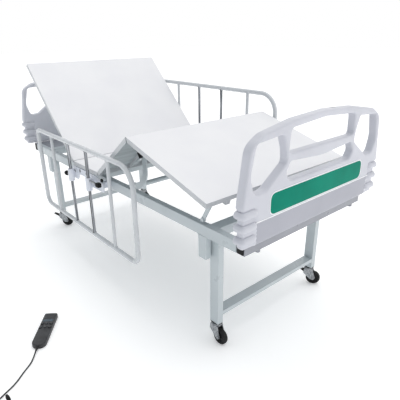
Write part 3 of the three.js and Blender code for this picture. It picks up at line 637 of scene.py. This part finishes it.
cord_line = at_bed(*whole_cord().T)
cord_data = bpy.data.curves.new("handset_cord_sheath", "CURVE")
cord_data.dimensions = "3D"
cord_data.bevel_depth = CORD_RADIUS
cord_data.bevel_resolution = 4
cord_data.use_fill_caps = True
cord_data.resolution_u = 6
spline = cord_data.splines.new("BEZIER")
spline.bezier_points.add(len(cord_line) - 1)
spline.bezier_points.foreach_set("co", cord_line.ravel())
for point in spline.bezier_points:
    point.handle_left_type = point.handle_right_type = "AUTO"
cord_data.materials.append(cord_sheath)
handset_cord = bpy.data.objects.new("handset_cord_sheath", cord_data)
bpy.context.scene.collection.objects.link(handset_cord)
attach(handset_cord, "root")
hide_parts("handset_cord", "cord_coil")

cord_way = unit(cord_line[1] - cord_line[0])
relief_profile = [
    (0.0040, -0.0030), (0.0064, -0.0024), (0.0067, -0.0008), (0.0064, 0.0010), (0.0060, 0.0014),
    (0.0060, 0.0034), (0.0052, 0.0042), (0.0052, 0.0056), (0.0056, 0.0064), (0.0055, 0.0084),
    (0.0048, 0.0092), (0.0048, 0.0106), (0.0051, 0.0114), (0.0050, 0.0134), (0.0044, 0.0142),
    (0.0044, 0.0156), (0.0046, 0.0164), (0.0044, 0.0190), (0.0038, 0.0215), (0.0034, 0.0220),
]
Shells().add(*turned(relief_profile, cord_line[0], cord_way, 24)).piece(
    "handset_cord_relief", cord_sheath, "root", "cord_sheath"
)

plug_profile = [
    (0.0035, -0.0200), (0.0045, -0.0196), (0.0050, -0.0186), (0.0050, -0.0112), (0.0066, -0.0106),
    (0.0070, -0.0098), (0.0070, 0.0100), (0.0066, 0.0108), (0.0052, 0.0116), (0.0048, 0.0130),
    (0.0052, 0.0138), (0.0050, 0.0158), (0.0044, 0.0164), (0.0044, 0.0178), (0.0048, 0.0186),
    (0.0046, 0.0206), (0.0040, 0.0214), (0.0038, 0.0232), (0.0034, 0.0240),
]
Shells().add(*turned(plug_profile, at_bed(*PLUG_CENTRE), (1, 0, 0), 32)).piece(
    "handset_plug_body", black_plastic, "root", "black_plastic", ["handset_plug"]
)

# ---- frame
# Painted CAD shapes that keep their form: name, edge radius in metres, and look.
painted = []
for side, _ in SIDES:
    painted += [(f"side_rail_{side}", 0.003, frame_paint), (f"seat_plate_{side}", 0.0016, plate_paint)]
    painted += [(f"thigh_arm_{side}", 0.0015, frame_paint), (f"leg_prop_{side}", 0.0012, frame_paint)]
for end, _ in ENDS:
    painted += [(f"{end}_end_tube", 0.003, tube_paint), (f"{end}_leg_frame", 0.003, frame_paint)]
painted += [(f"{place}_cross_tube", 0.0025, frame_paint) for place in ("back", "middle", "seat")]
painted += [("back_lever", 0.0015, frame_paint), ("thigh_bow_tube", 0.001, frame_paint)]
for node, width, look in painted:
    softened(node, width, look)
for node in ("back_actuator_body", "knee_actuator_body", "control_box"):
    softened(node, 0.003, motor_grey)
for node in ("back_actuator_rod", "knee_actuator_rod"):
    softened(node, 0.0006, zinc)

# How far each platform panel is turned about Y, in degrees.
PANEL_TILT = {"seat_panel": 0.0, "back_panel": 45.0, "thigh_panel": -37.5, "leg_panel": 16.2}
# Each panel's down-facing faces get a painted shade grey and its sideways faces a darker painted shade.
for node, tilt in PANEL_TILT.items():
    up = (math.sin(math.radians(tilt)), 0, math.cos(math.radians(tilt)))
    softened(node, 0.0016, deck_white, under=(underside_painted_shade, deck_sides_painted_shade, up))


def end_plugs():
    """Black push-in plugs that close the ends of the end tubes, each a thin rounded cap."""
    for end, _ in ENDS:
        lo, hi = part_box(f"{end}_end_tube")
        x, z = (lo.x + hi.x) / 2, hi.z - 0.025
        caps = Shells()
        for face, way in ((lo.y, -1), (hi.y, 1)):
            caps.add(*beam((x, face - way * 0.003, z), (x, face + way * 0.002, z), 0.0168, 0.0218, 0.004))
        caps.piece(f"{end}_end_tube_plugs", black_plastic, "root", "black_plastic")


end_plugs()


def thigh_bar_plugs():
    """Black caps in the open ends of the square tube under the thigh panel, turned with the panel."""
    tilt = -math.radians(PANEL_TILT["thigh_panel"])
    along = np.array([math.cos(tilt), 0, math.sin(tilt)])
    over = np.array([-math.sin(tilt), 0, math.cos(tilt)])
    hinge, down_panel, below, reach = at_bed(22, 0, 624), 0.216, 0.0325, 0.300
    centre = hinge + down_panel * along - below * over
    caps = Shells()
    for _, side in SIDES:
        face = centre + np.array([0, side * reach, 0])
        out = np.array([0, side * 1.0, 0])
        caps.add(*beam(face - out * 0.004, face + out * 0.010, 0.0165, 0.0165, 0.004, over))
    caps.piece("thigh_bar_plugs", black_plastic, "thigh_section", "black_plastic")


thigh_bar_plugs()


def weld_bead(points, radius):
    """A row of overlapping weld ripples: a thin rope whose radius swells and shrinks as it goes."""
    line = through(points, 10)
    scale = 1 + 0.18 * np.sin(np.arange(len(line)) * 1.9)
    return swept(line, circle(radius, 8), up=(0.3, 0.2, 1), scale=scale)


# Weld runs at each corner of the frame: from x, to x, y, z and bead radius, in millimetres.
CORNER_WELDS = ((744, 790, 396, 528.3, 1.6), (776, 824, 358, 528.0, 1.6), (777, 823, 328, 161.4, 1.5))
CROSS_TUBES = (-600, -420, -125)


def frame_welds():
    """Fillet welds where the legs, stubs and cross tubes meet the rails, each a fine rippled rope."""
    beads = Shells()
    for _, side in SIDES:
        for _, end in ENDS:
            for first, last, y, z, radius in CORNER_WELDS:
                row = [at_bed(end * x, side * y, z) for x in np.linspace(first, last, 8)]
                beads.add(*weld_bead(row, radius * MM))
        for x in CROSS_TUBES:
            for dx in (-15.2, 15.2):
                row = [at_bed(x + dx, side * 366, z) for z in np.linspace(531, 556, 5)]
                beads.add(*weld_bead(row, 0.0014))
    beads.piece("frame_welds", frame_paint, "root", "powder_coat")


frame_welds()


# ---- side guards
GUARD_Y = 475
GUARD_LOW, GUARD_HIGH, GUARD_TRAVEL = 261.5, 737, 218
# The loop's corners when lowered: x, z and radius.
GUARD_CORNERS = ((-661, GUARD_LOW, 50), (-661, GUARD_HIGH, 26), (403, GUARD_HIGH, 105), (403, GUARD_LOW, 50))
GUARD_TUBE, WHITE_BAR, CHROME_BAR = 0.012, 0.009, 0.008  # radii


def guard_path(y, rise):
    """The guard's loop: straight runs joined by quarter turns, each a cubic that is near a circle."""
    found = []
    n = len(GUARD_CORNERS)
    corners = np.array(GUARD_CORNERS, float)
    for i, (*here, r) in enumerate(corners):
        ahead, next_r = corners[(i + 1) % n][:2], corners[(i + 1) % n][2]
        before, after = unit(corners[i - 1][:2] - here), unit(ahead - here)
        s, e = here + before * r, here + after * r
        t = np.linspace(0, 1, 15)[:, None]
        a, b = s + (here - s) * 0.5523, e + (here - e) * 0.5523
        found.append((1 - t) ** 3 * s + 3 * t * (1 - t) ** 2 * a + 3 * t * t * (1 - t) * b + t**3 * e)
        stop = ahead - after * next_r
        found.append(e + (stop - e) * np.linspace(0, 1, 12)[1:-1, None])
    flat = np.vstack(found)
    return at_bed(flat[:, 0], y, flat[:, 1] + rise)


def collar(centre, axis, inner, outer, height):
    """A weld fillet round the foot of a bar: the radius eases from the outer to the inner size."""
    t = np.linspace(0, np.pi / 2, 6)
    profile = np.stack([inner + (outer - inner) * (1 - np.sin(t)), height * (1 - np.cos(t))], 1)
    return turned(np.vstack([[[outer, -0.004]], profile, [[inner - 0.001, height]]]), centre, axis, 24)


def side_guard(name, side):
    """The bent loop with its two white bars, and the two chrome bars that slide in the sleeves."""
    y = side * GUARD_Y
    rise = GUARD_TRAVEL if side > 0 else 0
    low, high = GUARD_LOW + rise, GUARD_HIGH + rise
    loop = Shells()
    loop.add(*swept(guard_path(y, rise), circle(GUARD_TUBE, 32), closed=True, up=(0, 1, 0)))
    for x in (-462, 190):
        loop.add(*rod(at_bed(x, y, low + 3), at_bed(x, y, high - 3), WHITE_BAR))
        for z, way in ((low + 11.2, 1), (high - 11.2, -1)):
            loop.add(*collar(at_bed(x, y, z), (0, 0, way), WHITE_BAR, 0.0115, 0.003))
    body = f"side_guard_{name}"
    loop.piece(f"guard_{name}_loop", guard_paint, body, "powder_coat", [f"guard_{name}"])
    for end, x in (("head", -243), ("foot", -33)):
        bar = Shells().add(*rod(at_bed(x, y, low + 11), at_bed(x, y, high - 11), CHROME_BAR, 0.0005, 36))
        for z, way in ((low + 11.4, 1), (high - 11.4, -1)):
            bar.add(*collar(at_bed(x, y, z), (0, 0, way), CHROME_BAR, 0.0105, 0.003))
        bar.piece(f"guard_bar_{end}_{name}_rod", chrome, body, "chrome", [f"guard_bar_{end}_{name}"])


LATCH_PIN = 0.006
LATCH_BLOCK = 0.028  # the square knob's length
LATCH_GRIP = [
    (0.007, 0), (0.0118, 0.0006), (0.0136, 0.0026), (0.014, 0.005), (0.0132, 0.0085),
    (0.0126, 0.012), (0.0134, 0.0155), (0.0125, 0.0185), (0.009, 0.0198), (0.004, 0.02),
]


def latches(name, side):
    """Pull pins of the guard: a fluted round knob at the head side and a ribbed square one; the
    flutes are radius times 1 - 0.045 |cos 4.5 t| cubed."""
    y = at_bed(0, side * GUARD_Y, 0)[1]
    flutes = lambda t: 1 - 0.045 * np.abs(np.cos(4.5 * t)) ** 3
    for end in ("head", "foot"):
        lo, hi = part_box(f"latch_knob_{end}_{name}")
        z = (lo.z + hi.z) / 2
        knob = Shells()
        if end == "head":
            knob.add(*turned(LATCH_GRIP, (lo.x + 0.02, y, z), (-1, 0, 0), 54, flutes))
            pin = rod((lo.x + 0.017, y, z), (hi.x, y, z), LATCH_PIN)
        else:
            first = hi.x - LATCH_BLOCK
            knob.add(*beam((first, y, z), (hi.x, y, z), 0.0100, 0.0100, 0.003, ease=0.002))
            for share in (0.2, 0.4, 0.6, 0.8):
                x = first + share * (hi.x - first)
                rib = (x - 0.0016, y, z), (x + 0.0016, y, z)
                knob.add(*beam(*rib, 0.011, 0.011, 0.0035, ease=0.0008))
            pin = rod((lo.x, y, z), (first + 0.004, y, z), LATCH_PIN)
        body, node = f"latch_{end}_{name}", f"latch_knob_{end}_{name}"
        knob.piece(f"{node}_grip", black_plastic, body, "black_plastic", [node])
        Shells().add(*pin).piece(f"{body}_pin", zinc, body, "zinc")


for side_name, side_way in SIDES:
    side_guard(side_name, side_way)
for side_name, side_way in SIDES:
    latches(side_name, side_way)


def plate_bolts():
    """Dome-headed bolts through each seat side plate, and hinge pins with black washers."""
    steel, black = Shells(), Shells()
    dome = [(0.0062, -0.001), (0.0064, 0.0006), (0.0058, 0.0022), (0.0042, 0.0034), (0.0016, 0.0039)]
    washer = [(0.0092, -0.001), (0.0095, 0.0002), (0.0092, 0.001), (0.006, 0.0012)]
    cap = [(0.0095, -0.002), (0.010, 0.001), (0.0097, 0.004), (0.008, 0.006), (0.003, 0.0068)]
    plate_y = 452
    for _, side in SIDES:
        for x, z in ((-240, 568), (48, 568), (-176, 583), (-100, 583)):
            for profile in (dome, washer):
                steel.add(*turned(profile, at_bed(x, side * plate_y, z), (0, side, 0), 20))
        black.add(*turned(cap, at_bed(72, side * plate_y, 592), (0, side, 0), 28))
    steel.piece("seat_plate_bolts", zinc, "root", "zinc")
    black.piece("seat_hinge_caps", black_plastic, "root", "black_plastic")


plate_bolts()


# ---- end boards
BOARD_SIDE = [
    (438, 578.3, 12), (438, 722, 4), (444, 733, 6), (441, 760, 60), (413, 940, 60), (352, 974, 60),
    (190, 1001, 200),
]
BOARD_OUTLINE = [*BOARD_SIDE, (0, 1011, 200), *[(-a, b, r) for a, b, r in BOARD_SIDE[::-1]]]
GRIP_HOLE = [(250, 957, 14), (385, 946, 22), (410, 840, 80), (386, 770, 26), (330, 776, 30),
             (222, 853, 26), (229, 900, 60)]
UPPER_SLOT = [(-214, 883, 18), (214, 883, 18), (208, 972, 22), (0, 986, 400), (-208, 972, 22)]
LOWER_SLOT = [(-200, 781, 28), (200, 781, 28), (222, 816, 18), (200, 854, 16), (0, 838, 500),
              (-200, 854, 16), (-222, 816, 18)]
BOARD_INNER = 989.0
BOARD_DEPTH = 40.0
BOARD_EDGE = 8.0
WEB = 19.0  # half thickness of the thinner web inside the rim
LINE_Z = 670.0
INSERT = {"half": 304, "low": 677, "high": 757, "round": 28}


def board_half(p, d, rim):
    """Half the board's thickness at a point: a thin web, swelling to a full round rim along the outer
    edge above the lower panel, with rounded edges; all in millimetres."""
    upper = smooth_step((p[:, 1] - 752) / 40)
    proud = (BOARD_DEPTH / 2 - WEB) * (1 - upper * smooth_step((rim - 27) / 10))
    return WEB + proud - quarter(d, BOARD_EDGE)


def corner_cut(p):
    """How far the corner's faces are cut back behind the buffers: 5 mm, fading out at its borders."""
    inward = smooth_step((np.abs(p[:, 0]) - 372) / 10)
    return 5.0 * inward * smooth_step((733 - p[:, 1]) / 9)


def on_board(q, way, level):
    """Millimetres (across, up, out) seen from outside a board, out from a level, to the row frame."""
    return at_bed(way * (level + q[:, 2]), way * q[:, 0], q[:, 1])


def end_board(end, way):
    """The moulded shell with its openings and buffers; the lower panel's outer face takes the darker apron
    look, a painted shade."""
    outline = rounded_outline(BOARD_OUTLINE, 7)
    grip = rounded_outline(GRIP_HOLE, 6)
    mirrored = grip * np.array([-1, 1])
    holes = [grip, mirrored, rounded_outline(UPPER_SLOT, 7), rounded_outline(LOWER_SLOT, 7)]

    def front(p, d):
        rim = away(p, outline)
        half = board_half(p, d, rim)
        apron = smooth_step((LINE_Z - 2 - p[:, 1]) / 4) * smooth_step((376 - np.abs(p[:, 0])) / 6)
        return half - 2.2 * apron - corner_cut(p)

    def back(p, d):
        return corner_cut(p) - board_half(p, d, away(p, outline))

    rows = [(-380, 380, LINE_Z - s) for s in (-1, 2, 4, 6)]
    rows += [(s * 378, s * 430, z) for s in (-1, 1) for z in np.arange(590, 744, 6)]
    flat, faces = relief([outline, *holes], 8.5, rim_rings(BOARD_EDGE), front, back, rows)
    shell = Shells().add(on_board(flat, way, BOARD_INNER + BOARD_DEPTH / 2), faces)
    for height in (613, 661, 709):
        for side in (1, -1):
            shell.add(*bumper_rib(way, side, height))
    made = shell.piece(f"{end}board_shell", board_skin, "root", "board_plastic", [f"{end}board"], 50)
    made.data.materials.append(apron_painted_shade)
    centres = np.zeros(len(made.data.polygons) * 3)
    made.data.polygons.foreach_get("center", centres)
    centres = (centres.reshape(-1, 3) - np.array([0, BED_Y, 0])) / MM
    # Painted shade: the lower panel's outer faces take the darker apron look.
    outer_face = way * centres[:, 0] > BOARD_INNER + 30
    low = (centres[:, 2] < LINE_Z - 3) & (np.abs(centres[:, 1]) < 371) & outer_face
    made.data.polygons.foreach_set("material_index", low.astype(np.int32))


# One buffer's section: how far it stands out from the board, and how high above its middle.
RIB_SECTION = [
    (-9, -12.5), (-4, -12.8), (1.0, -12.6), (4.0, -12.0), (6.0, -10.6), (7.2, -8.4), (7.9, -5.5), (8.0, -2.0),
    (7.8, 1.0), (7.0, 3.6), (5.6, 6.2), (3.6, 9.0), (1.4, 11.6), (-1.5, 13.4), (-5.0, 14.0), (-9, 14.0),
]


def bumper_rib(way, side, height):
    """A buffer that wraps a lower corner: its section is carried round the corner, rising over 16 mm
    at each end: size = sqrt(smooth(s / 16))."""
    outer = BOARD_INNER + BOARD_DEPTH
    corner = 12.0
    edge = 444.0
    turn = np.linspace(0, np.pi / 2, 9)
    face = np.linspace(372, edge - corner, 11)[:-1]
    first = np.stack([np.full(len(face), outer), face], 1)
    bend = np.stack([outer - corner + corner * np.cos(turn), edge - corner + corner * np.sin(turn)], 1)
    second = bend[::-1] * np.array([-1, 1]) + np.array([outer + BOARD_INNER, 0])
    last = first[::-1] * np.array([-1, 1]) + np.array([outer + BOARD_INNER, 0])
    run = np.vstack([first, bend, second, last])
    along = unit(np.gradient(run, axis=0))
    out = np.stack([along[:, 1], -along[:, 0]], 1)
    s = np.concatenate([[0], np.cumsum(np.linalg.norm(np.diff(run, axis=0), axis=1))])
    ends = np.minimum(s, s[-1] - s)
    size = smooth_step(ends / 16) ** 0.5
    stand, rise = (np.array(v) for v in zip(*RIB_SECTION))
    proud = np.where(stand > 0, stand * size[:, None], stand)
    tall = rise * (0.6 + 0.4 * size[:, None])
    x = run[:, 0][:, None] + out[:, 0][:, None] * proud
    y = run[:, 1][:, None] + out[:, 1][:, None] * proud
    z = height + tall
    points = at_bed(way * x, side * y, z).reshape(-1, 3)
    faces = tube_faces(len(run), len(RIB_SECTION))
    if way * side < 0:
        faces = [f[::-1] for f in faces]
    return points, faces


def insert_plate(end, way):
    """The coloured plate with softened edges, and the thin white bead round it."""
    half, low, high, r = INSERT["half"], INSERT["low"], INSERT["high"], INSERT["round"]
    corners = [(-half, low, r), (half, low, r), (half, high, r), (-half, high, r)]
    outline = rounded_outline(corners, 6)
    outer = BOARD_INNER + BOARD_DEPTH
    top = lambda p, d: 1.0 - quarter(d, 1.2)
    bottom = lambda p, d: np.full(len(p), -1.5)
    flat, faces = relief([outline], 24, rim_rings(1.2), top, bottom)
    Shells().add(on_board(flat, way, outer), faces).piece(
        f"{end}board_insert_plate", teal, "root", "green_insert", [f"{end}board_insert"]
    )
    wide = rounded_outline([(a * 1.006, b + (3 if b > 700 else -2.2), c) for a, b, c in corners], 6)
    ring = np.column_stack([wide, np.zeros(len(wide))])
    path = on_board(ring, way, outer)
    bead = Shells().add(*swept(path, circle(0.0019, 10), closed=True, up=(1, 0, 0)))
    # Painted highlight: a bright white line along the edge of the step above the lower panel.
    step_highlight_line = through([(y, LINE_Z - 1.0, 0) for y in np.linspace(-376, 376, 30)], 2)
    bead.add(*swept(on_board(step_highlight_line, way, outer), circle(0.0021, 10), up=(1, 0, 0)))
    bead.piece(f"{end}board_white_bead_and_step_highlight", white_bead_and_painted_highlight, "root", "board_plastic")


for end_name, end_way in ENDS:
    end_board(end_name, end_way)
    insert_plate(end_name, end_way)


# ---- castors
WHEEL_TRAIL, AXLE_HEIGHT = 0.027, 0.0375
CASTOR_REST = {"head_near": 45, "head_far": 12, "foot_near": 0, "foot_far": 30}  # degrees from +X


def wheel(name, centre, roll):
    """A soft tyre on a spoked hub: the tyre's profile is a flattened circle arc, the hub dished with a
    raised boss, and both are turned round the axle."""
    tread = both_ways([
        (0.0265, -0.0098), (0.0295, -0.0106), (0.0325, -0.0112), (0.0346, -0.0104),
        (0.0362, -0.0082), (0.0371, -0.0052), (0.0375, -0.0018),
    ])
    hub = both_ways([
        (0.0056, -0.0119), (0.0095, -0.0119), (0.0104, -0.0112), (0.0108, -0.0084), (0.0118, -0.0072),
        (0.0222, -0.0072), (0.0232, -0.0082), (0.0240, -0.0104), (0.0258, -0.0108), (0.0268, -0.0098),
    ])
    body = f"wheel_{name}"
    Shells().add(*ring_turned(tread, centre, roll, 56)).piece(
        f"castor_tyre_{name}", tyre_black, body, "wheel_rubber", [f"castor_wheel_{name}"], 50
    )
    core = Shells().add(*ring_turned(hub, centre, roll, 48))
    spokes = 5
    for a in np.arange(spokes) * 2 * math.pi / spokes:
        way = math.cos(a) * np.cross(roll, (0, 0, 1)) + math.sin(a) * np.array([0, 0, 1.0])
        for s in (-1, 1):
            base = np.array(centre) + s * 0.0078 * np.array(roll)
            ends = base + way * 0.0105, base + way * 0.0235
            core.add(*beam(*ends, 0.0022, 0.0014, 0.0009, roll, 0.0006))
    core.piece(f"castor_hub_{name}", hub_grey, body, "wheel_rubber")


def castor(name, spot, braked):
    """Fork from its CAD shape with rounded edges, a bearing race, axle nuts and the pedal."""
    softened(f"castor_fork_{name}", 0.0009, zinc, steps=2)
    body = f"swivel_{name}"
    metalwork = Shells()
    race = [(0.0100, 0.0905), (0.0222, 0.0906), (0.0234, 0.0916), (0.0236, 0.0935), (0.0226, 0.0948),
            (0.0230, 0.0960), (0.0224, 0.0982), (0.0190, 0.0992), (0.0100, 0.0994)]
    metalwork.add(*turned(race, spot, (0, 0, 1), 40))
    turn = math.radians(CASTOR_REST[name])
    ahead = np.array([math.cos(turn), math.sin(turn), 0])
    roll = np.array([-math.sin(turn), math.cos(turn), 0])
    axle = spot + np.array([0, 0, AXLE_HEIGHT]) + WHEEL_TRAIL * ahead
    wave = lambda t: np.cos(np.pi / 6) / np.cos((t % (np.pi / 3)) - np.pi / 6)
    nut = [(0.0048, 0), (0.0075, 0.0001), (0.0079, 0.0008), (0.0079, 0.0038), (0.0072, 0.0046),
           (0.0048, 0.0047)]
    for s in (-1, 1):
        face = axle + s * 0.0174 * roll
        metalwork.add(*turned(nut, face, s * roll, 36, wave))
    metalwork.piece(f"castor_race_{name}", zinc, body, "zinc")
    if braked:
        softened(f"brake_pedal_{name}", 0.0012, black_plastic)
    cap_ends = spot + np.array([[0, 0, 0.0996], [0, 0, 0.1040]])
    cap = Shells().add(*beam(*cap_ends, 0.0250, 0.0150, 0.003, up=(0, 1, 0), ease=0.0008))
    cap.piece(f"leg_cap_{name}", black_plastic, "root", "black_plastic")
    wheel(name, axle, roll)


for end_name, end_way in ENDS:
    for side_name, side_way in SIDES:
        spot = at_bed(end_way * 800, side_way * 343, 0)
        castor(f"{end_name}_{side_name}", spot, end_way * side_way > 0)


# ---- handset
HANDSET_CENTRE = (238.7, -900.6)
HANDSET_TURN = math.radians(-37.93)
HANDSET_TOP = 24.0


def at_handset(q):
    """Points in the handset's own millimetres (along, across, up) to the row frame."""
    q = np.asarray(q, float)
    c, s = math.cos(HANDSET_TURN), math.sin(HANDSET_TURN)
    x = HANDSET_CENTRE[0] + q[:, 0] * c - q[:, 1] * s
    y = HANDSET_CENTRE[1] + q[:, 0] * s + q[:, 1] * c
    return at_bed(x, y, q[:, 2])


def handset():
    """A shell that is crowned across its width, with a groove in an arc above the display."""
    outline = rounded_outline(
        [(-110, -30, 5), (20, -31, 300), (110, -31, 44), (110, 31, 44), (20, 31, 300), (-110, 30, 5)], 3
    )

    def top(p, d):
        crown = 1.6 * (p[:, 1] / 31) ** 2
        arc = -70.5 + 5.0 * (p[:, 1] / 27) ** 2
        gap = np.abs(p[:, 0] - arc)
        cut = 1.5 * (1 - smooth_step(gap / 1.9)) * smooth_step((28.5 - np.abs(p[:, 1])) / 3)
        raised = 0.5 * smooth_step((arc - p[:, 0] - 1) / 2)
        return HANDSET_TOP - 0.6 - crown - cut + raised - quarter(d, 4.5)

    bottom = lambda p, d: 0.2 + quarter(d, 2.5)
    flat, faces = relief([outline], 1.9, rim_rings(4.5), top, bottom)
    Shells().add(at_handset(flat), faces).piece(
        "handset_shell", handset_shell, "root", "handset_plastic", ["handset_body"], 50
    )
    # The key field and display are a thin moulded inlay that follows the crown.
    pad = rounded_outline([(-64, -23, 4), (-47, -23, 4), (-47, 23, 4), (-64, 23, 4)], 2.5)
    lid = lambda p, d: HANDSET_TOP - 0.6 - 1.6 * (p[:, 1] / 31) ** 2 + 0.35 - quarter(d, 0.4)
    flat, faces = relief([pad], 3, [0.2, 0.4], lid, lambda p, d: np.full(len(p), HANDSET_TOP - 3.5))
    Shells().add(at_handset(flat), faces).piece("handset_display", handset_inlay, "root", "handset_plastic")
    for row, x in (("upper", -33), ("lower", -7)):
        for k, y in enumerate((-20, 0, 20)):
            name = f"button_{row}_{k + 1}"
            lo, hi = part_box(name)
            middle = at_handset([(x, y, 0)])[0]
            key = [(0.0035, lo.z), (0.0064, lo.z), (0.0068, lo.z + 0.0004), (0.0069, hi.z - 0.0022),
                   (0.0065, hi.z - 0.0014), (0.0056, hi.z - 0.0008), (0.0042, hi.z - 0.0004),
                   (0.0024, hi.z - 0.0001), (0.0006, hi.z)]
            spot = (middle[0], middle[1], 0)
            Shells().add(*turned(key, spot, (0, 0, 1), 32)).piece(
                f"{name}_key", key_rubber, f"button_body_{row}_{k + 1}", "button_rubber", [name]
            )
            bezel = [(0.0071, 0.0205), (0.0090, 0.0205), (0.0090, 0.0226), (0.0086, 0.0232),
                     (0.0078, 0.0233), (0.0072, 0.0229)]
            Shells().add(*ring_turned(bezel, spot, (0, 0, 1), 32)).piece(
                f"{name}_bezel", black_plastic, "root", "handset_plastic"
            )


handset()


# ---- studio
def studio():
    """A pale floor, a white backdrop, a sky that lights the far side more, and a broad soft light."""
    floor = bpy.data.meshes.new("studio_floor")
    floor.from_pydata([(-30, -30, 0), (30, -30, 0), (30, 30, 0), (-30, 30, 0)], [], [(0, 1, 2, 3)])
    glow = {"Emission_Color": (1, 1, 1, 1), "Emission_Strength": 0.2}
    made, _, _ = shader("matte_white_floor", "#FFFFFF", Roughness=0.9, Specular_IOR_Level=0.1, **glow)
    floor.materials.append(made)
    ground = bpy.data.objects.new("studio_floor", floor)
    bpy.context.scene.collection.objects.link(ground)
    world = bpy.data.worlds.new("studio_sky")
    bpy.context.scene.world = world
    world.use_nodes = True
    tree = world.node_tree
    sky = tree.nodes["Background"]
    where = add_node(tree, "TexCoord").outputs["Generated"]
    split = add_node(tree, "SeparateXYZ", {"Vector": where})
    spread = add_node(
        tree, "MapRange", {"Value": split.outputs["Y"]}, From_Min=-0.75, From_Max=0.1, To_Min=0.0, To_Max=1.0
    )
    ramp = add_node(tree, "ValToRGB", {"Fac": spread.outputs["Result"]})
    ramp.color_ramp.elements[0].color = (0.40, 0.435, 0.465, 1)
    ramp.color_ramp.elements[1].color = (1.0, 1.0, 1.0, 1)
    tree.links.new(ramp.outputs["Color"], sky.inputs["Color"])
    plain = add_node(tree, "Background", Color=(1, 1, 1, 1), Strength=1.0)
    seen = add_node(tree, "LightPath").outputs["Is Camera Ray"]
    both = add_node(tree, "MixShader")
    tree.links.new(seen, both.inputs[0])
    tree.links.new(sky.outputs["Background"], both.inputs[1])
    tree.links.new(plain.outputs["Background"], both.inputs[2])
    tree.links.new(both.outputs["Shader"], tree.nodes["World Output"].inputs["Surface"])
    data = bpy.data.lights.new("overhead_soft_light", "SUN")
    data.energy = 0.62
    data.angle = math.radians(50)
    lamp = bpy.data.objects.new("overhead_soft_light", data)
    bpy.context.scene.collection.objects.link(lamp)
    lamp.rotation_euler = (math.radians(-8), math.radians(-4), 0)


studio()
scene_view = bpy.context.scene.view_settings
scene_view.view_transform = "Standard"
scene_view.look = "None"
